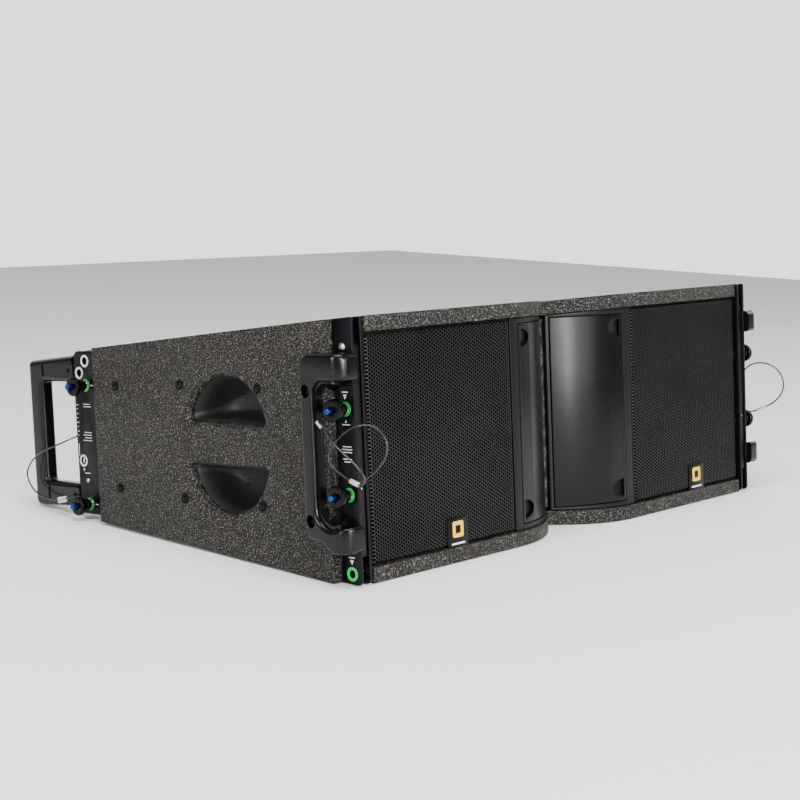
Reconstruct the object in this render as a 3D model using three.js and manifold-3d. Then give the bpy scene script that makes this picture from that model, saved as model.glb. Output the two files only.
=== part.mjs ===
// A compact two-way line array loudspeaker: two 8 inch woofers either side of a central
// high-frequency slot, in a tapered plywood cabinet with four-point rigging.
//
// All the shapes are drawn in the cabinet's own frame, in millimetres:
//   x runs to the right as seen from behind the listener, with 0 on the centre line,
//   y runs backwards, with 0 at the front edge of the cabinet,
//   z runs upwards, with 0 at half height.
// The group at the end moves that frame so the part's origin is at the bottom, in the middle.
// Left-hand pieces are drawn at negative x, and the right-hand ones are their mirror images.
import * as THREE from "three";
import { mergeVertices } from "three/addons/utils/BufferGeometryUtils.js";
import Module from "manifold-3d";

const wasm = await Module();
wasm.setup();

// ---------- driving dimensions ----------
const GAP = 0.3; // left between two pieces that touch

// cabinet
const HALF_HEIGHT = 125; // at the front edge
const HALF_WIDTH = 350;
const TAPER = Math.tan(THREE.MathUtils.degToRad(5)); // top and bottom close in towards the back
const CABINET_DEPTH = 371.5;
const PLY = 15;
const RIM_HALF_WIDTH = 321; // the top and bottom panels are narrower in front of the side panels
const SIDE_PANEL_FRONT = 24;
const BAFFLE_FRONT = 26;

// the horn mouth: each half of the front edge swells back to the centre line in one lobe
const LOBE_START = 100; // half width where the lobe leaves the straight front edge
const LOBE_RADIUS = 130;
const LOBE_ARC_END = 18; // nearer the centre the lobe runs on straight
const THROAT_HALF_WIDTH = 5;

// rigging
const CHEEK = 3; // steel thickness of the rigging channels
const CHANNEL_OUTER_X = 339; // outer face of the outer cheek
const CHANNEL_SLOT = 8.4; // clear width between the cheeks
const PIN_HOLE_RADIUS = 4.25;
const FRONT_PIN_Y = 10.5;
const FRONT_PIN_Z = 40;
const FRONT_LINK_HOLE_Z = -114;
const FRONT_LINK_TRAVEL = 45;
const REAR_CHANNEL_END = 419.5;
const REAR_CHANNEL_HALF_HEIGHT = 88.2;
const REAR_UPPER_PIN = { y: 399, z: 51.5 };
const REAR_LOWER_PIN = { y: 402, z: -77 };
const REAR_LINK_TRAVEL = 36;

// handles
const HANDLE_OUTER_X = 363;
const HANDLE_FRONT_Y = -4;
const HANDLE_BACK_Y = 47;
const REAR_HANDLE_END = 500;

// the whole object, without its lanyards, sets the origin
const CENTRE_Y = (HANDLE_FRONT_Y + REAR_HANDLE_END) / 2;

// ---------- materials ----------
const PAINT = { color: 0x2b2725, roughness: 0.85, metalness: 0 };
const PLAIN_WOOD = { color: 0x8a6a45, roughness: 0.8, metalness: 0 };
const BLACK_PLASTIC = { color: 0x121212, roughness: 0.45, metalness: 0 };
const SATIN_BLACK = { color: 0x1a1918, roughness: 0.35, metalness: 0.2 };
const BLACK_STEEL = { color: 0x16171c, roughness: 0.5, metalness: 0.5 };
const GRILLE_STEEL = { color: 0x141414, roughness: 0.55, metalness: 0.4 };
const GREY_STEEL = { color: 0x4a4946, roughness: 0.45, metalness: 0.8 };
const CAST_FRAME = { color: 0x303030, roughness: 0.5, metalness: 0.6 };
const PAPER_CONE = { color: 0x1d1b1a, roughness: 0.9, metalness: 0 };
const BLUE_ALUMINIUM = { color: 0x1c5fb5, roughness: 0.3, metalness: 0.8 };
const FOAM = { color: 0x3a3c36, roughness: 1, metalness: 0 };
const COATED_WIRE = { color: 0x6e6c68, roughness: 0.4, metalness: 0.6 };

// ---------- making and joining solids ----------
function solid(geometry) {
  const plain = geometry.index ? geometry.toNonIndexed() : geometry.clone();
  const bare = new THREE.BufferGeometry();
  bare.setAttribute("position", plain.getAttribute("position"));
  const merged = mergeVertices(bare, 1e-4);
  const corners = new Uint32Array(merged.index.array);
  const vertProperties = merged.attributes.position.array;
  const body = new wasm.Manifold(new wasm.Mesh({ numProp: 3, vertProperties, triVerts: corners }));
  if (body.volume() > 0) return body;
  corners.reverse(); // a profile drawn the other way round gives a surface that faces inwards
  return new wasm.Manifold(new wasm.Mesh({ numProp: 3, vertProperties, triVerts: corners }));
}

function geometryOf(manifold) {
  const mesh = manifold.getMesh();
  const geometry = new THREE.BufferGeometry();
  geometry.setAttribute("position", new THREE.BufferAttribute(new Float32Array(mesh.vertProperties), 3));
  geometry.setIndex(new THREE.BufferAttribute(new Uint32Array(mesh.triVerts), 1));
  geometry.computeVertexNormals();
  return geometry;
}

function cut(body, ...tools) {
  return tools.reduce((left, tool) => left.subtract(tool), body);
}

function join(body, ...others) {
  return others.reduce((sum, other) => sum.add(other), body);
}

function box([x0, x1], [y0, y1], [z0, z1]) {
  const geometry = new THREE.BoxGeometry(x1 - x0, y1 - y0, z1 - z0);
  geometry.translate((x0 + x1) / 2, (y0 + y1) / 2, (z0 + z1) / 2);
  return solid(geometry);
}

// A closed outline whose corners are [u, v] or, where they are rounded, [u, v, radius].
function outline(corners) {
  const shape = new THREE.Shape();
  corners.forEach((corner, i) => {
    const here = new THREE.Vector2(corner[0], corner[1]);
    const before = new THREE.Vector2(...corners[(i + corners.length - 1) % corners.length]);
    const after = new THREE.Vector2(...corners[(i + 1) % corners.length]);
    const radius = corner[2] ?? 0;
    const enter = here.clone().add(before.sub(here).setLength(radius));
    const leave = here.clone().add(after.sub(here).setLength(radius));
    if (i === 0) shape.moveTo(enter.x, enter.y);
    else shape.lineTo(enter.x, enter.y);
    if (radius > 0) shape.quadraticCurveTo(here.x, here.y, leave.x, leave.y);
  });
  return shape;
}

function extrude(shape, length, segments = 3) {
  return new THREE.ExtrudeGeometry(shape, {
    depth: length,
    bevelEnabled: false,
    curveSegments: segments,
  });
}

// A prism along x, from an outline in y and z.
function prismX(shape, [from, to], segments) {
  const geometry = extrude(shape, to - from, segments);
  geometry.translate(0, 0, from);
  const turn = new THREE.Matrix4().makeBasis(
    new THREE.Vector3(0, 1, 0),
    new THREE.Vector3(0, 0, 1),
    new THREE.Vector3(1, 0, 0),
  );
  return solid(geometry.applyMatrix4(turn));
}

// A prism along y, from an outline in x and z.
function prismY(shape, [from, to], segments) {
  const geometry = extrude(shape, to - from, segments);
  geometry.translate(0, 0, -to);
  return solid(geometry.rotateX(Math.PI / 2));
}

// A prism along z, from an outline in x and y.
function prismZ(shape, [from, to], segments) {
  const geometry = extrude(shape, to - from, segments);
  geometry.translate(0, 0, from);
  return solid(geometry);
}

function rodX(y, z, radius, [from, to], sides = 12) {
  const geometry = new THREE.CylinderGeometry(radius, radius, to - from, sides);
  geometry.rotateZ(Math.PI / 2);
  geometry.translate((from + to) / 2, y, z);
  return solid(geometry);
}

function rodY(x, z, radius, [from, to], sides = 24) {
  const geometry = new THREE.CylinderGeometry(radius, radius, to - from, sides);
  geometry.translate(x, (from + to) / 2, z);
  return solid(geometry);
}

function rodZ(x, y, radius, [from, to], sides = 16) {
  const geometry = new THREE.CylinderGeometry(radius, radius, to - from, sides);
  geometry.rotateX(Math.PI / 2);
  geometry.translate(x, y, (from + to) / 2);
  return solid(geometry);
}

// A turned piece whose profile gives [radius, distance] along the direction +y.
function turnedY(profile, x, z, sides = 24) {
  const points = profile.map(([radius, along]) => new THREE.Vector2(radius, along));
  const geometry = new THREE.LatheGeometry(points, sides);
  geometry.translate(x, 0, z);
  return solid(geometry);
}

// A turned piece whose profile gives [radius, distance outwards] from the left outer cheek.
function turnedOutwards(profile, y, z, sides = 16) {
  const points = profile.map(([radius, along]) => new THREE.Vector2(radius, along));
  const geometry = new THREE.LatheGeometry(points, sides);
  geometry.rotateZ(Math.PI / 2);
  geometry.translate(-CHANNEL_OUTER_X, y, z);
  return solid(geometry);
}

// ---------- the cabinet's tapered space ----------
function topZ(y) {
  return HALF_HEIGHT - y * TAPER;
}

// Everything between the sloping top and bottom, both moved in by the same distance.
function wedge(inset) {
  const [near, far] = [-20, 560];
  const half = (y) => topZ(y) - inset;
  const shape = outline([
    [near, -half(near)],
    [far, -half(far)],
    [far, half(far)],
    [near, half(near)],
  ]);
  return prismX(shape, [-400, 400]);
}

const INSIDE = wedge(PLY + GAP); // between the inner faces of the top and bottom panels
const OUTSIDE = wedge(0);

// ---------- the horn mouth's curve ----------
function lobeY(x) {
  const reach = Math.max(0, LOBE_START - Math.abs(x));
  const arcReach = LOBE_START - LOBE_ARC_END;
  const height = Math.sqrt(LOBE_RADIUS ** 2 - arcReach ** 2);
  if (reach <= arcReach) return LOBE_RADIUS - Math.sqrt(LOBE_RADIUS ** 2 - reach ** 2);
  return LOBE_RADIUS - height + ((reach - arcReach) * arcReach) / height;
}

// Points of the right-hand lobe, moved back by offset, between two distances from the centre.
function lobeLine(from, to, offset, steps = 10) {
  const points = [];
  for (let i = 0; i <= steps; i++) {
    const x = from + ((to - from) * i) / steps;
    points.push([x, lobeY(x) + offset]);
  }
  return points;
}

// A curved slab on the left lobe, between two offsets behind the front edge.
function lobeSlab(from, to, near, far, [z0, z1]) {
  const front = lobeLine(from, to, near).map(([x, y]) => [-x, y]);
  const back = lobeLine(to, from, far).map(([x, y]) => [-x, y]);
  return prismZ(outline([...front, ...back]), [z0, z1]);
}

// ---------- cabinet panels ----------
function topPanel() {
  const mouth = [...lobeLine(-LOBE_START, 0, 0, 12), ...lobeLine(0, LOBE_START, 0, 12).slice(1)];
  const shape = outline([
    [-RIM_HALF_WIDTH, 0],
    ...mouth,
    [RIM_HALF_WIDTH, 0],
    [RIM_HALF_WIDTH, SIDE_PANEL_FRONT],
    [HALF_WIDTH, SIDE_PANEL_FRONT],
    [HALF_WIDTH, CABINET_DEPTH],
    [-HALF_WIDTH, CABINET_DEPTH],
    [-HALF_WIDTH, SIDE_PANEL_FRONT],
    [-RIM_HALF_WIDTH, SIDE_PANEL_FRONT],
  ]);
  const column = prismZ(shape, [60, HALF_HEIGHT + 5]);
  return column.intersect(OUTSIDE).subtract(wedge(PLY));
}

// One half-moon hand pocket: a half disc with its flat side towards mid-height.
const POCKET = { y: 165.5, radius: 57, centreZ: 11, flatZ: 21, wall: 3, depth: 50 };

function halfMoon(inset, up) {
  const radius = POCKET.radius - inset;
  const flat = POCKET.flatZ + inset;
  const start = Math.asin((flat - POCKET.centreZ) / radius);
  const shape = new THREE.Shape();
  for (let i = 0; i <= 12; i++) {
    const angle = start + ((Math.PI - 2 * start) * i) / 12;
    const y = POCKET.y + radius * Math.cos(angle);
    const z = up * (POCKET.centreZ + radius * Math.sin(angle));
    if (i === 0) shape.moveTo(y, z);
    else shape.lineTo(y, z);
  }
  return shape;
}

function sidePanel() {
  const slab = box(
    [-HALF_WIDTH, PLY - HALF_WIDTH],
    [SIDE_PANEL_FRONT + GAP, CABINET_DEPTH],
    [-HALF_HEIGHT, HALF_HEIGHT],
  );
  const through = [-HALF_WIDTH - 1, PLY - HALF_WIDTH + 1];
  const pockets = [1, -1].map((up) => prismX(halfMoon(0, up), through));
  return cut(slab.intersect(INSIDE), ...pockets);
}

function pocketCups() {
  const flangeX = PLY - HALF_WIDTH + GAP;
  const flange = prismX(
    outline([
      [104, -74, 8],
      [244, -74, 8],
      [244, 74, 8],
      [104, 74, 8],
    ]),
    [flangeX, flangeX + POCKET.wall],
  );
  const floor = POCKET.depth - HALF_WIDTH;
  const shells = [1, -1].map((up) => prismX(halfMoon(GAP, up), [-HALF_WIDTH, floor]));
  const hollows = [1, -1].map((up) =>
    prismX(halfMoon(GAP + POCKET.wall, up), [-HALF_WIDTH - 1, floor - POCKET.wall]),
  );
  return cut(join(flange, ...shells), ...hollows);
}

function rearPanel() {
  const slab = box(
    [PLY + GAP - HALF_WIDTH, HALF_WIDTH - PLY - GAP],
    [CABINET_DEPTH - PLY, CABINET_DEPTH],
    [-HALF_HEIGHT, HALF_HEIGHT],
  );
  const plateHole = box([-72, 72], [CABINET_DEPTH - PLY - 1, CABINET_DEPTH + 1], [-42, 42]);
  return slab.intersect(INSIDE).subtract(plateHole);
}

// ---------- connector plate ----------
const CONNECTOR = { x: 34, radius: 12, flange: 15.5 };

function connectorPlate() {
  const face = prismY(
    outline([
      [-84, -54, 6],
      [84, -54, 6],
      [84, 54, 6],
      [-84, 54, 6],
    ]),
    [CABINET_DEPTH + GAP, CABINET_DEPTH + GAP + 2.5],
  );
  const holes = [-1, 1].map((side) =>
    rodY(side * CONNECTOR.x, 0, CONNECTOR.radius + 0.5, [CABINET_DEPTH - 1, CABINET_DEPTH + 5]),
  );
  return cut(face, ...holes);
}

function connector(side) {
  const face = CABINET_DEPTH + GAP + 2.5 + GAP;
  const profile = [
    [0, face - 26],
    [CONNECTOR.radius, face - 26],
    [CONNECTOR.radius, face],
    [CONNECTOR.flange, face],
    [CONNECTOR.flange, face + 2],
    [9.5, face + 2],
    [9.5, face - 16],
    [0, face - 16],
  ];
  return turnedY(profile, side * CONNECTOR.x, 0, 20);
}

// ---------- low-frequency section ----------
const WOOFER = { x: -212.5, hole: 92, flange: 102, cone: 83 };

function baffle() {
  const slab = box(
    [PLY + GAP - HALF_WIDTH, -105.3],
    [BAFFLE_FRONT, BAFFLE_FRONT + PLY],
    [-HALF_HEIGHT, HALF_HEIGHT],
  );
  const hole = rodY(WOOFER.x, 0, WOOFER.hole, [BAFFLE_FRONT - 1, BAFFLE_FRONT + PLY + 1]);
  return slab.intersect(INSIDE).subtract(hole);
}

function wooferBasket() {
  const front = BAFFLE_FRONT - GAP;
  const profile = [
    [0, front + 52],
    [46, front + 52],
    [WOOFER.cone + 3.5, front + 8],
    [WOOFER.cone + 3.5, front - 4],
    [WOOFER.flange, front - 4],
    [WOOFER.flange, front],
    [WOOFER.hole - 1, front],
    [WOOFER.hole - 3, front + 12],
    [50, front + 58],
    [58, front + 58],
    [58, front + 88],
    [0, front + 88],
  ];
  return turnedY(profile, WOOFER.x, 0);
}

function wooferCone() {
  const front = BAFFLE_FRONT - GAP;
  const profile = [
    [0, front + 20],
    [16, front + 23],
    [27, front + 30],
    [WOOFER.cone - 14, front + 1],
    [WOOFER.cone - 6, front - 5],
    [WOOFER.cone + 3, front + 1],
    [WOOFER.cone + 3, front + 3],
    [WOOFER.cone - 6, front - 2],
    [WOOFER.cone - 13, front + 5],
    [27, front + 38],
    [0, front + 38],
  ];
  return turnedY(profile, WOOFER.x, 0);
}

// ---------- grille ----------
const GRILLE = { inner: 105.3, outer: 320.5, front: 1.5, sheet: 1.5, fold: 10, halfHeight: 109 };

function grille() {
  const face = box(
    [-GRILLE.outer, -GRILLE.inner],
    [GRILLE.front, GRILLE.front + GRILLE.fold],
    [-GRILLE.halfHeight, GRILLE.halfHeight],
  );
  const hollow = box(
    [GRILLE.sheet - GRILLE.outer, -GRILLE.inner - GRILLE.sheet],
    [GRILLE.front + GRILLE.sheet, GRILLE.front + GRILLE.fold + 1],
    [GRILLE.sheet - GRILLE.halfHeight, GRILLE.halfHeight - GRILLE.sheet],
  );
  return cut(face, hollow).intersect(INSIDE);
}

// ---------- high-frequency section ----------
const HORN = { outer: 104.8, front: 3, back: 12, recess: 7.2, recessHalfHeight: 103.6 };
const FIN = { inner: 9, outer: 91.5, front: 3.2, back: 6.4, halfHeight: 102.8 };
const FIN_GRIP = { outer: 88, width: 18, z: 88.5, halfHeight: 9.5 };
// The bead that each fin turns on, along its edge nearest the throat.
const HINGE = { x: 10.2, depth: 4.8, radius: 1.24 };

function hornFlare() {
  const front = lobeLine(THROAT_HALF_WIDTH, HORN.outer, HORN.front).map(([x, y]) => [-x, y]);
  const back = lobeLine(HORN.outer - 4, THROAT_HALF_WIDTH, HORN.back).map(([x, y]) => [-x, y]);
  const shape = outline([
    ...front,
    [-HORN.outer, BAFFLE_FRONT + PLY - 2],
    [-HORN.outer + 4, BAFFLE_FRONT + PLY - 2],
    ...back,
  ]);
  const body = prismZ(shape, [-HALF_HEIGHT, HALF_HEIGHT]).intersect(INSIDE);
  const recess = lobeSlab(FIN.inner - 1, FIN.outer + 0.8, -5, HORN.recess, [
    -HORN.recessHalfHeight,
    HORN.recessHalfHeight,
  ]);
  return body.subtract(recess);
}

function fin() {
  const span = [-FIN.halfHeight, FIN.halfHeight];
  const plate = lobeSlab(HINGE.x, FIN.outer, FIN.front, FIN.back, span);
  const bead = rodZ(-HINGE.x, lobeY(HINGE.x) + HINGE.depth, HINGE.radius, span);
  const grips = [1, -1].map((up) => {
    const shape = new THREE.Shape();
    const middle = up * FIN_GRIP.z;
    shape.moveTo(-FIN_GRIP.outer, middle + FIN_GRIP.halfHeight);
    shape.lineTo(-FIN_GRIP.outer, middle - FIN_GRIP.halfHeight);
    shape.absellipse(
      -FIN_GRIP.outer, middle, FIN_GRIP.width, FIN_GRIP.halfHeight, -Math.PI / 2, Math.PI / 2, false, 0,
    );
    return prismY(shape, [-10, 40], 6);
  });
  return cut(join(plate, bead), ...grips);
}

const WAVEGUIDE = { front: 54.5, back: 116, halfWidth: 26, halfHeight: 97, slotHalfHeight: 92 };

function waveguide() {
  const body = box(
    [-WAVEGUIDE.halfWidth, WAVEGUIDE.halfWidth],
    [WAVEGUIDE.front, WAVEGUIDE.back],
    [-WAVEGUIDE.halfHeight, WAVEGUIDE.halfHeight],
  );
  const slot = prismX(
    outline([
      [WAVEGUIDE.front - 1, -WAVEGUIDE.slotHalfHeight],
      [WAVEGUIDE.back - 8, -16],
      [WAVEGUIDE.back - 8, 16],
      [WAVEGUIDE.front - 1, WAVEGUIDE.slotHalfHeight],
    ]),
    [-THROAT_HALF_WIDTH, THROAT_HALF_WIDTH],
  );
  const bore = rodY(0, 0, 17, [WAVEGUIDE.back - 20, WAVEGUIDE.back + 1]);
  return cut(body, slot, bore);
}

function throatScreen() {
  return box([-THROAT_HALF_WIDTH + GAP, THROAT_HALF_WIDTH - GAP], [47.5, 49.5], [-100, 100]);
}

function compressionDriver() {
  const start = WAVEGUIDE.back + GAP;
  const profile = [
    [0, start + 4],
    [12, start + 4],
    [12, start],
    [45, start],
    [45, start + 7],
    [60, start + 7],
    [60, start + 45],
    [38, start + 45],
    [34, start + 62],
    [0, start + 62],
  ];
  return turnedY(profile, 0, 0, 28);
}

// ---------- rigging channels ----------
function channelWalls(shape, webY) {
  const inner = CHANNEL_OUTER_X - CHEEK - CHANNEL_SLOT;
  const outerCheek = prismX(shape, [-CHANNEL_OUTER_X, CHEEK - CHANNEL_OUTER_X]);
  const innerCheek = prismX(shape, [-inner, CHEEK - inner]);
  const web = box([-CHANNEL_OUTER_X, CHEEK - inner], webY, [-HALF_HEIGHT, HALF_HEIGHT]);
  const whole = prismX(shape, [-CHANNEL_OUTER_X, CHEEK - inner]);
  return join(outerCheek, innerCheek, web.intersect(whole));
}

function pinHole(y, z) {
  return rodX(y, z, PIN_HOLE_RADIUS, [-CHANNEL_OUTER_X - 1, -300]);
}

function frontChannel() {
  const back = SIDE_PANEL_FRONT - GAP;
  const shape = outline([
    [-1, -HALF_HEIGHT],
    [back, -HALF_HEIGHT],
    [back, HALF_HEIGHT],
    [-1, HALF_HEIGHT],
  ]);
  const body = channelWalls(shape, [back - CHEEK, back]).intersect(OUTSIDE);
  return cut(
    body,
    pinHole(FRONT_PIN_Y, FRONT_PIN_Z),
    pinHole(FRONT_PIN_Y, -FRONT_PIN_Z),
    pinHole(FRONT_PIN_Y, FRONT_LINK_HOLE_Z),
  );
}

const REAR_SPLAY_HOLES = [
  { y: 398.5, z: 77.5 },
  { y: 409, z: 64.5 },
  { y: 409.5, z: -30.5 },
];

function rearChannel() {
  const start = CABINET_DEPTH + GAP;
  const half = REAR_CHANNEL_HALF_HEIGHT;
  const shape = outline([
    [start, -half],
    [REAR_CHANNEL_END, -half, 8],
    [REAR_CHANNEL_END, half, 14],
    [start, half],
  ]);
  const holes = [REAR_UPPER_PIN, REAR_LOWER_PIN, ...REAR_SPLAY_HOLES];
  return cut(channelWalls(shape, [start, start + CHEEK]), ...holes.map(({ y, z }) => pinHole(y, z)));
}

// ---------- link bars ----------
const LINK_CLEARANCE = 0.4; // each side, between a bar and the cheeks
const LINK_X = [
  CHEEK + LINK_CLEARANCE - CHANNEL_OUTER_X,
  CHEEK + CHANNEL_SLOT - LINK_CLEARANCE - CHANNEL_OUTER_X,
];

// A slot that lets a bar rise past a pin that stays in place.
function pinSlot(y, z, travel) {
  const half = PIN_HOLE_RADIUS;
  const shape = outline([
    [y - half, z - travel - half, 3],
    [y + half, z - travel - half, 3],
    [y + half, z + half, 3],
    [y - half, z + half, 3],
  ]);
  return prismX(shape, [-CHANNEL_OUTER_X, -300]);
}

function frontLinkBar() {
  const body = prismX(
    outline([
      [2, -99, 4],
      [19.5, -99, 4],
      [19.5, 102, 8],
      [2, 102, 8],
    ]),
    LINK_X,
  );
  return cut(
    body,
    pinSlot(FRONT_PIN_Y, FRONT_PIN_Z, FRONT_LINK_TRAVEL),
    pinSlot(FRONT_PIN_Y, -FRONT_PIN_Z, FRONT_LINK_TRAVEL),
    pinHole(FRONT_PIN_Y, 91),
  );
}

function rearLinkBar() {
  const body = prismX(
    outline([
      [388, -62, 5],
      [414, -62, 5],
      [414, 77, 9],
      [388, 77, 9],
    ]),
    LINK_X,
  );
  return cut(
    body,
    pinSlot(REAR_UPPER_PIN.y, REAR_UPPER_PIN.z, REAR_LINK_TRAVEL),
    pinHole(REAR_UPPER_PIN.y, 66.5),
  );
}

// ---------- ball-lock pins ----------
const PIN = { shank: 4, neck: 6.3, head: 10.5, shankEnd: -17.5, neckStart: 0.4, headStart: 13, headEnd: 19 };
const BUTTON = { radius: 2.9, start: 12.5, end: 25.5, travel: 2.5 };

function lockPin({ y, z }) {
  const well = BUTTON.radius + GAP;
  const profile = [
    [0, PIN.shankEnd],
    [PIN.shank - 1, PIN.shankEnd],
    [PIN.shank, PIN.shankEnd + 1],
    [PIN.shank, PIN.neckStart],
    [PIN.neck, PIN.neckStart],
    [PIN.neck, PIN.headStart],
    [PIN.head, PIN.headStart + 1.5],
    [PIN.head, PIN.headEnd - 1.5],
    [PIN.head - 2, PIN.headEnd],
    [well, PIN.headEnd],
    [well, BUTTON.start - BUTTON.travel - GAP],
    [0, BUTTON.start - BUTTON.travel - GAP],
  ];
  return turnedOutwards(profile, y, z);
}

function lockButton({ y, z }) {
  const profile = [
    [0, BUTTON.start],
    [BUTTON.radius, BUTTON.start],
    [BUTTON.radius, BUTTON.end - 1],
    [BUTTON.radius - 1, BUTTON.end],
    [0, BUTTON.end],
  ];
  return turnedOutwards(profile, y, z, 8);
}

// ---------- handles ----------
const HANDLE_SCREW = { y: 38.5, z: 60, radius: 5.6, depth: 6 };

function frontHandle() {
  const sideView = outline([
    [HANDLE_FRONT_Y, -93, 5],
    [HANDLE_BACK_Y, -93, 14],
    [HANDLE_BACK_Y, 93, 14],
    [HANDLE_FRONT_Y, 93, 5],
    [HANDLE_FRONT_Y, 65, 2],
    [31.5, 65, 15],
    [31.5, -65, 15],
    [HANDLE_FRONT_Y, -65, 2],
  ]);
  const plan = outline([
    [-CHANNEL_OUTER_X - GAP, HANDLE_FRONT_Y],
    [-CHANNEL_OUTER_X - GAP, SIDE_PANEL_FRONT - 0.6],
    [-HALF_WIDTH - GAP, SIDE_PANEL_FRONT - 0.6],
    [-HALF_WIDTH - GAP, HANDLE_BACK_Y],
    [-HANDLE_OUTER_X, HANDLE_BACK_Y, 4],
    [-HANDLE_OUTER_X, HANDLE_FRONT_Y, 14],
  ]);
  const body = prismX(sideView, [-400, -300]).intersect(prismZ(plan, [-HALF_HEIGHT, HALF_HEIGHT]));
  const screwWells = [1, -1].map((up) =>
    rodX(HANDLE_SCREW.y, up * HANDLE_SCREW.z, HANDLE_SCREW.radius, [
      -HANDLE_OUTER_X - 1,
      HANDLE_SCREW.depth - HANDLE_OUTER_X,
    ]),
  );
  return cut(body, ...screwWells);
}

const REAR_HANDLE = {
  outerX: 341,
  innerX: 323,
  gripFront: 477,
  windowTop: 54,
  windowBottom: -56,
  drop: 5, // the upper arm runs this far below the line of the cabinet's top
  bottomFront: -81.5,
  bottomBack: -85,
};

function rearHandle() {
  const start = REAR_CHANNEL_END + GAP;
  const shape = outline([
    [start, REAR_HANDLE.bottomFront],
    [REAR_HANDLE_END, REAR_HANDLE.bottomBack, 9],
    [REAR_HANDLE_END, topZ(REAR_HANDLE_END) - REAR_HANDLE.drop, 7],
    [start, topZ(start) - REAR_HANDLE.drop],
    [start, REAR_HANDLE.windowTop],
    [REAR_HANDLE.gripFront, REAR_HANDLE.windowTop, 5],
    [REAR_HANDLE.gripFront, REAR_HANDLE.windowBottom, 5],
    [start, REAR_HANDLE.windowBottom],
  ]);
  return prismX(shape, [-REAR_HANDLE.outerX, -REAR_HANDLE.innerX]);
}

// ---------- lanyards ----------
// Routes are chosen by hand, in the cabinet's frame, from a pin's neck to the fixed end.
const WIRE_RADIUS = 0.9;
const FRONT_LEFT_ROUTE = [
  [-347, 8.5, -32.4],
  [-348.5, 2, -30.4],
  [-349.5, -5.7, -28.1],
  [-348.5, -12, -25.8],
  [-346, -18.6, -22.2],
  [-342.5, -29.6, -13.7],
  [-339, -36.8, -2.8],
  [-338.5, -39.5, 10.5],
  [-341, -32.3, 22.7],
  [-345, -23.9, 27],
  [-350, -11.8, 25.8],
  [-352.5, -1, 20.3],
  [-353.2, 7.3, 14.2],
  [-353.5, 16.5, 5],
  [-353.8, 20.5, -4.5],
  [-354, 16.1, -11.4],
  [-353.6, 6.6, -17.8],
  [-353, -3.5, -22.9],
  [-352.8, -12.5, -26.2],
  [-353, -19.8, -27],
  [-353.8, -24.6, -23.6],
  [-354.8, -24.4, -18.2],
  [-356.2, -19.6, -11],
  [-358.5, -5.1, 0.8],
  [-359.5, 6.6, 9.6],
  [-358, 17.5, 18.2],
  [-357, 21.5, 24],
  [-357, 25.5, 27.6],
  [-357, 30.2, 28.6],
];
const FRONT_RIGHT_ROUTE = [
  [347, 8.5, -32.4],
  [349, 2, -31.2],
  [351, -6.3, -29.8],
  [352, -18.5, -25],
  [353, -31, -18.6],
  [353, -40.5, -9],
  [353, -44.5, 2],
  [353, -41.5, 14],
  [352.5, -34.5, 22.2],
  [352, -23.5, 27.3],
  [352, -11, 28.3],
  [352.5, 1.5, 24.6],
  [353.5, 11, 16.5],
  [354, 16.5, 5],
  [354.5, 16.5, -7],
  [355.5, 18.5, -16],
  [357.5, 23.5, -17],
  [358.5, 26.3, -8],
  [358.5, 26.5, 4],
  [357.5, 25.5, 16],
  [357, 26.4, 24.5],
  [357, 30.2, 28.6],
];
const REAR_ROUTE = [
  [-347, 405, -69],
  [-348.5, 414, -68.6],
  [-350, 428, -71],
  [-350, 445, -74.2],
  [-350, 460, -74.4],
  [-350, 480.4, -70.4],
  [-350, 494, -61.5],
  [-350, 499.5, -49],
  [-350, 491.5, -36.2],
  [-350, 472, -24.3],
  [-348, 448.5, -15.7],
  [-342.5, 433.5, -9.6],
  [-336, 425.5, -5.6],
  [-330.5, 421.9, -3.4],
  [-326.3, 421, -2.4],
];

function lanyard(route, steps) {
  const curve = new THREE.CatmullRomCurve3(route.map((point) => new THREE.Vector3(...point)));
  const section = new THREE.Shape();
  for (let i = 0; i < 8; i++) {
    const angle = (i * Math.PI) / 4;
    const point = [WIRE_RADIUS * Math.cos(angle), WIRE_RADIUS * Math.sin(angle)];
    if (i === 0) section.moveTo(...point);
    else section.lineTo(...point);
  }
  return solid(new THREE.ExtrudeGeometry(section, { steps, bevelEnabled: false, extrudePath: curve }));
}

// ---------- the scene graph ----------
const cabinet = new THREE.Group();
cabinet.position.set(0, -CENTRE_Y, HALF_HEIGHT);
const leftSide = new THREE.Group();
const rightSide = new THREE.Group();
rightSide.scale.x = -1;
cabinet.add(leftSide, rightSide);

function place(group, name, body, look) {
  const mesh = new THREE.Mesh(geometryOf(body), new THREE.MeshStandardMaterial(look));
  mesh.name = name;
  group.add(mesh);
  return mesh;
}

function placeBothSides(name, body, look) {
  place(leftSide, name + "_left", body, look);
  place(rightSide, name + "_right", body, look);
}

const panel = topPanel();
place(cabinet, "panel_top", panel, PAINT);
const panelBottom = place(cabinet, "panel_bottom", panel, PAINT);
panelBottom.scale.z = -1;
place(cabinet, "panel_rear", rearPanel(), PAINT);
placeBothSides("panel_side", sidePanel(), PAINT);
placeBothSides("pocket_cups", pocketCups(), BLACK_PLASTIC);

place(cabinet, "connector_plate", connectorPlate(), BLACK_STEEL);
place(cabinet, "connector_left", connector(-1), BLACK_PLASTIC);
place(cabinet, "connector_right", connector(1), BLACK_PLASTIC);

placeBothSides("baffle", baffle(), PLAIN_WOOD);
placeBothSides("woofer_basket", wooferBasket(), CAST_FRAME);
placeBothSides("woofer_cone", wooferCone(), PAPER_CONE);
placeBothSides("grille", grille(), GRILLE_STEEL);

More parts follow.
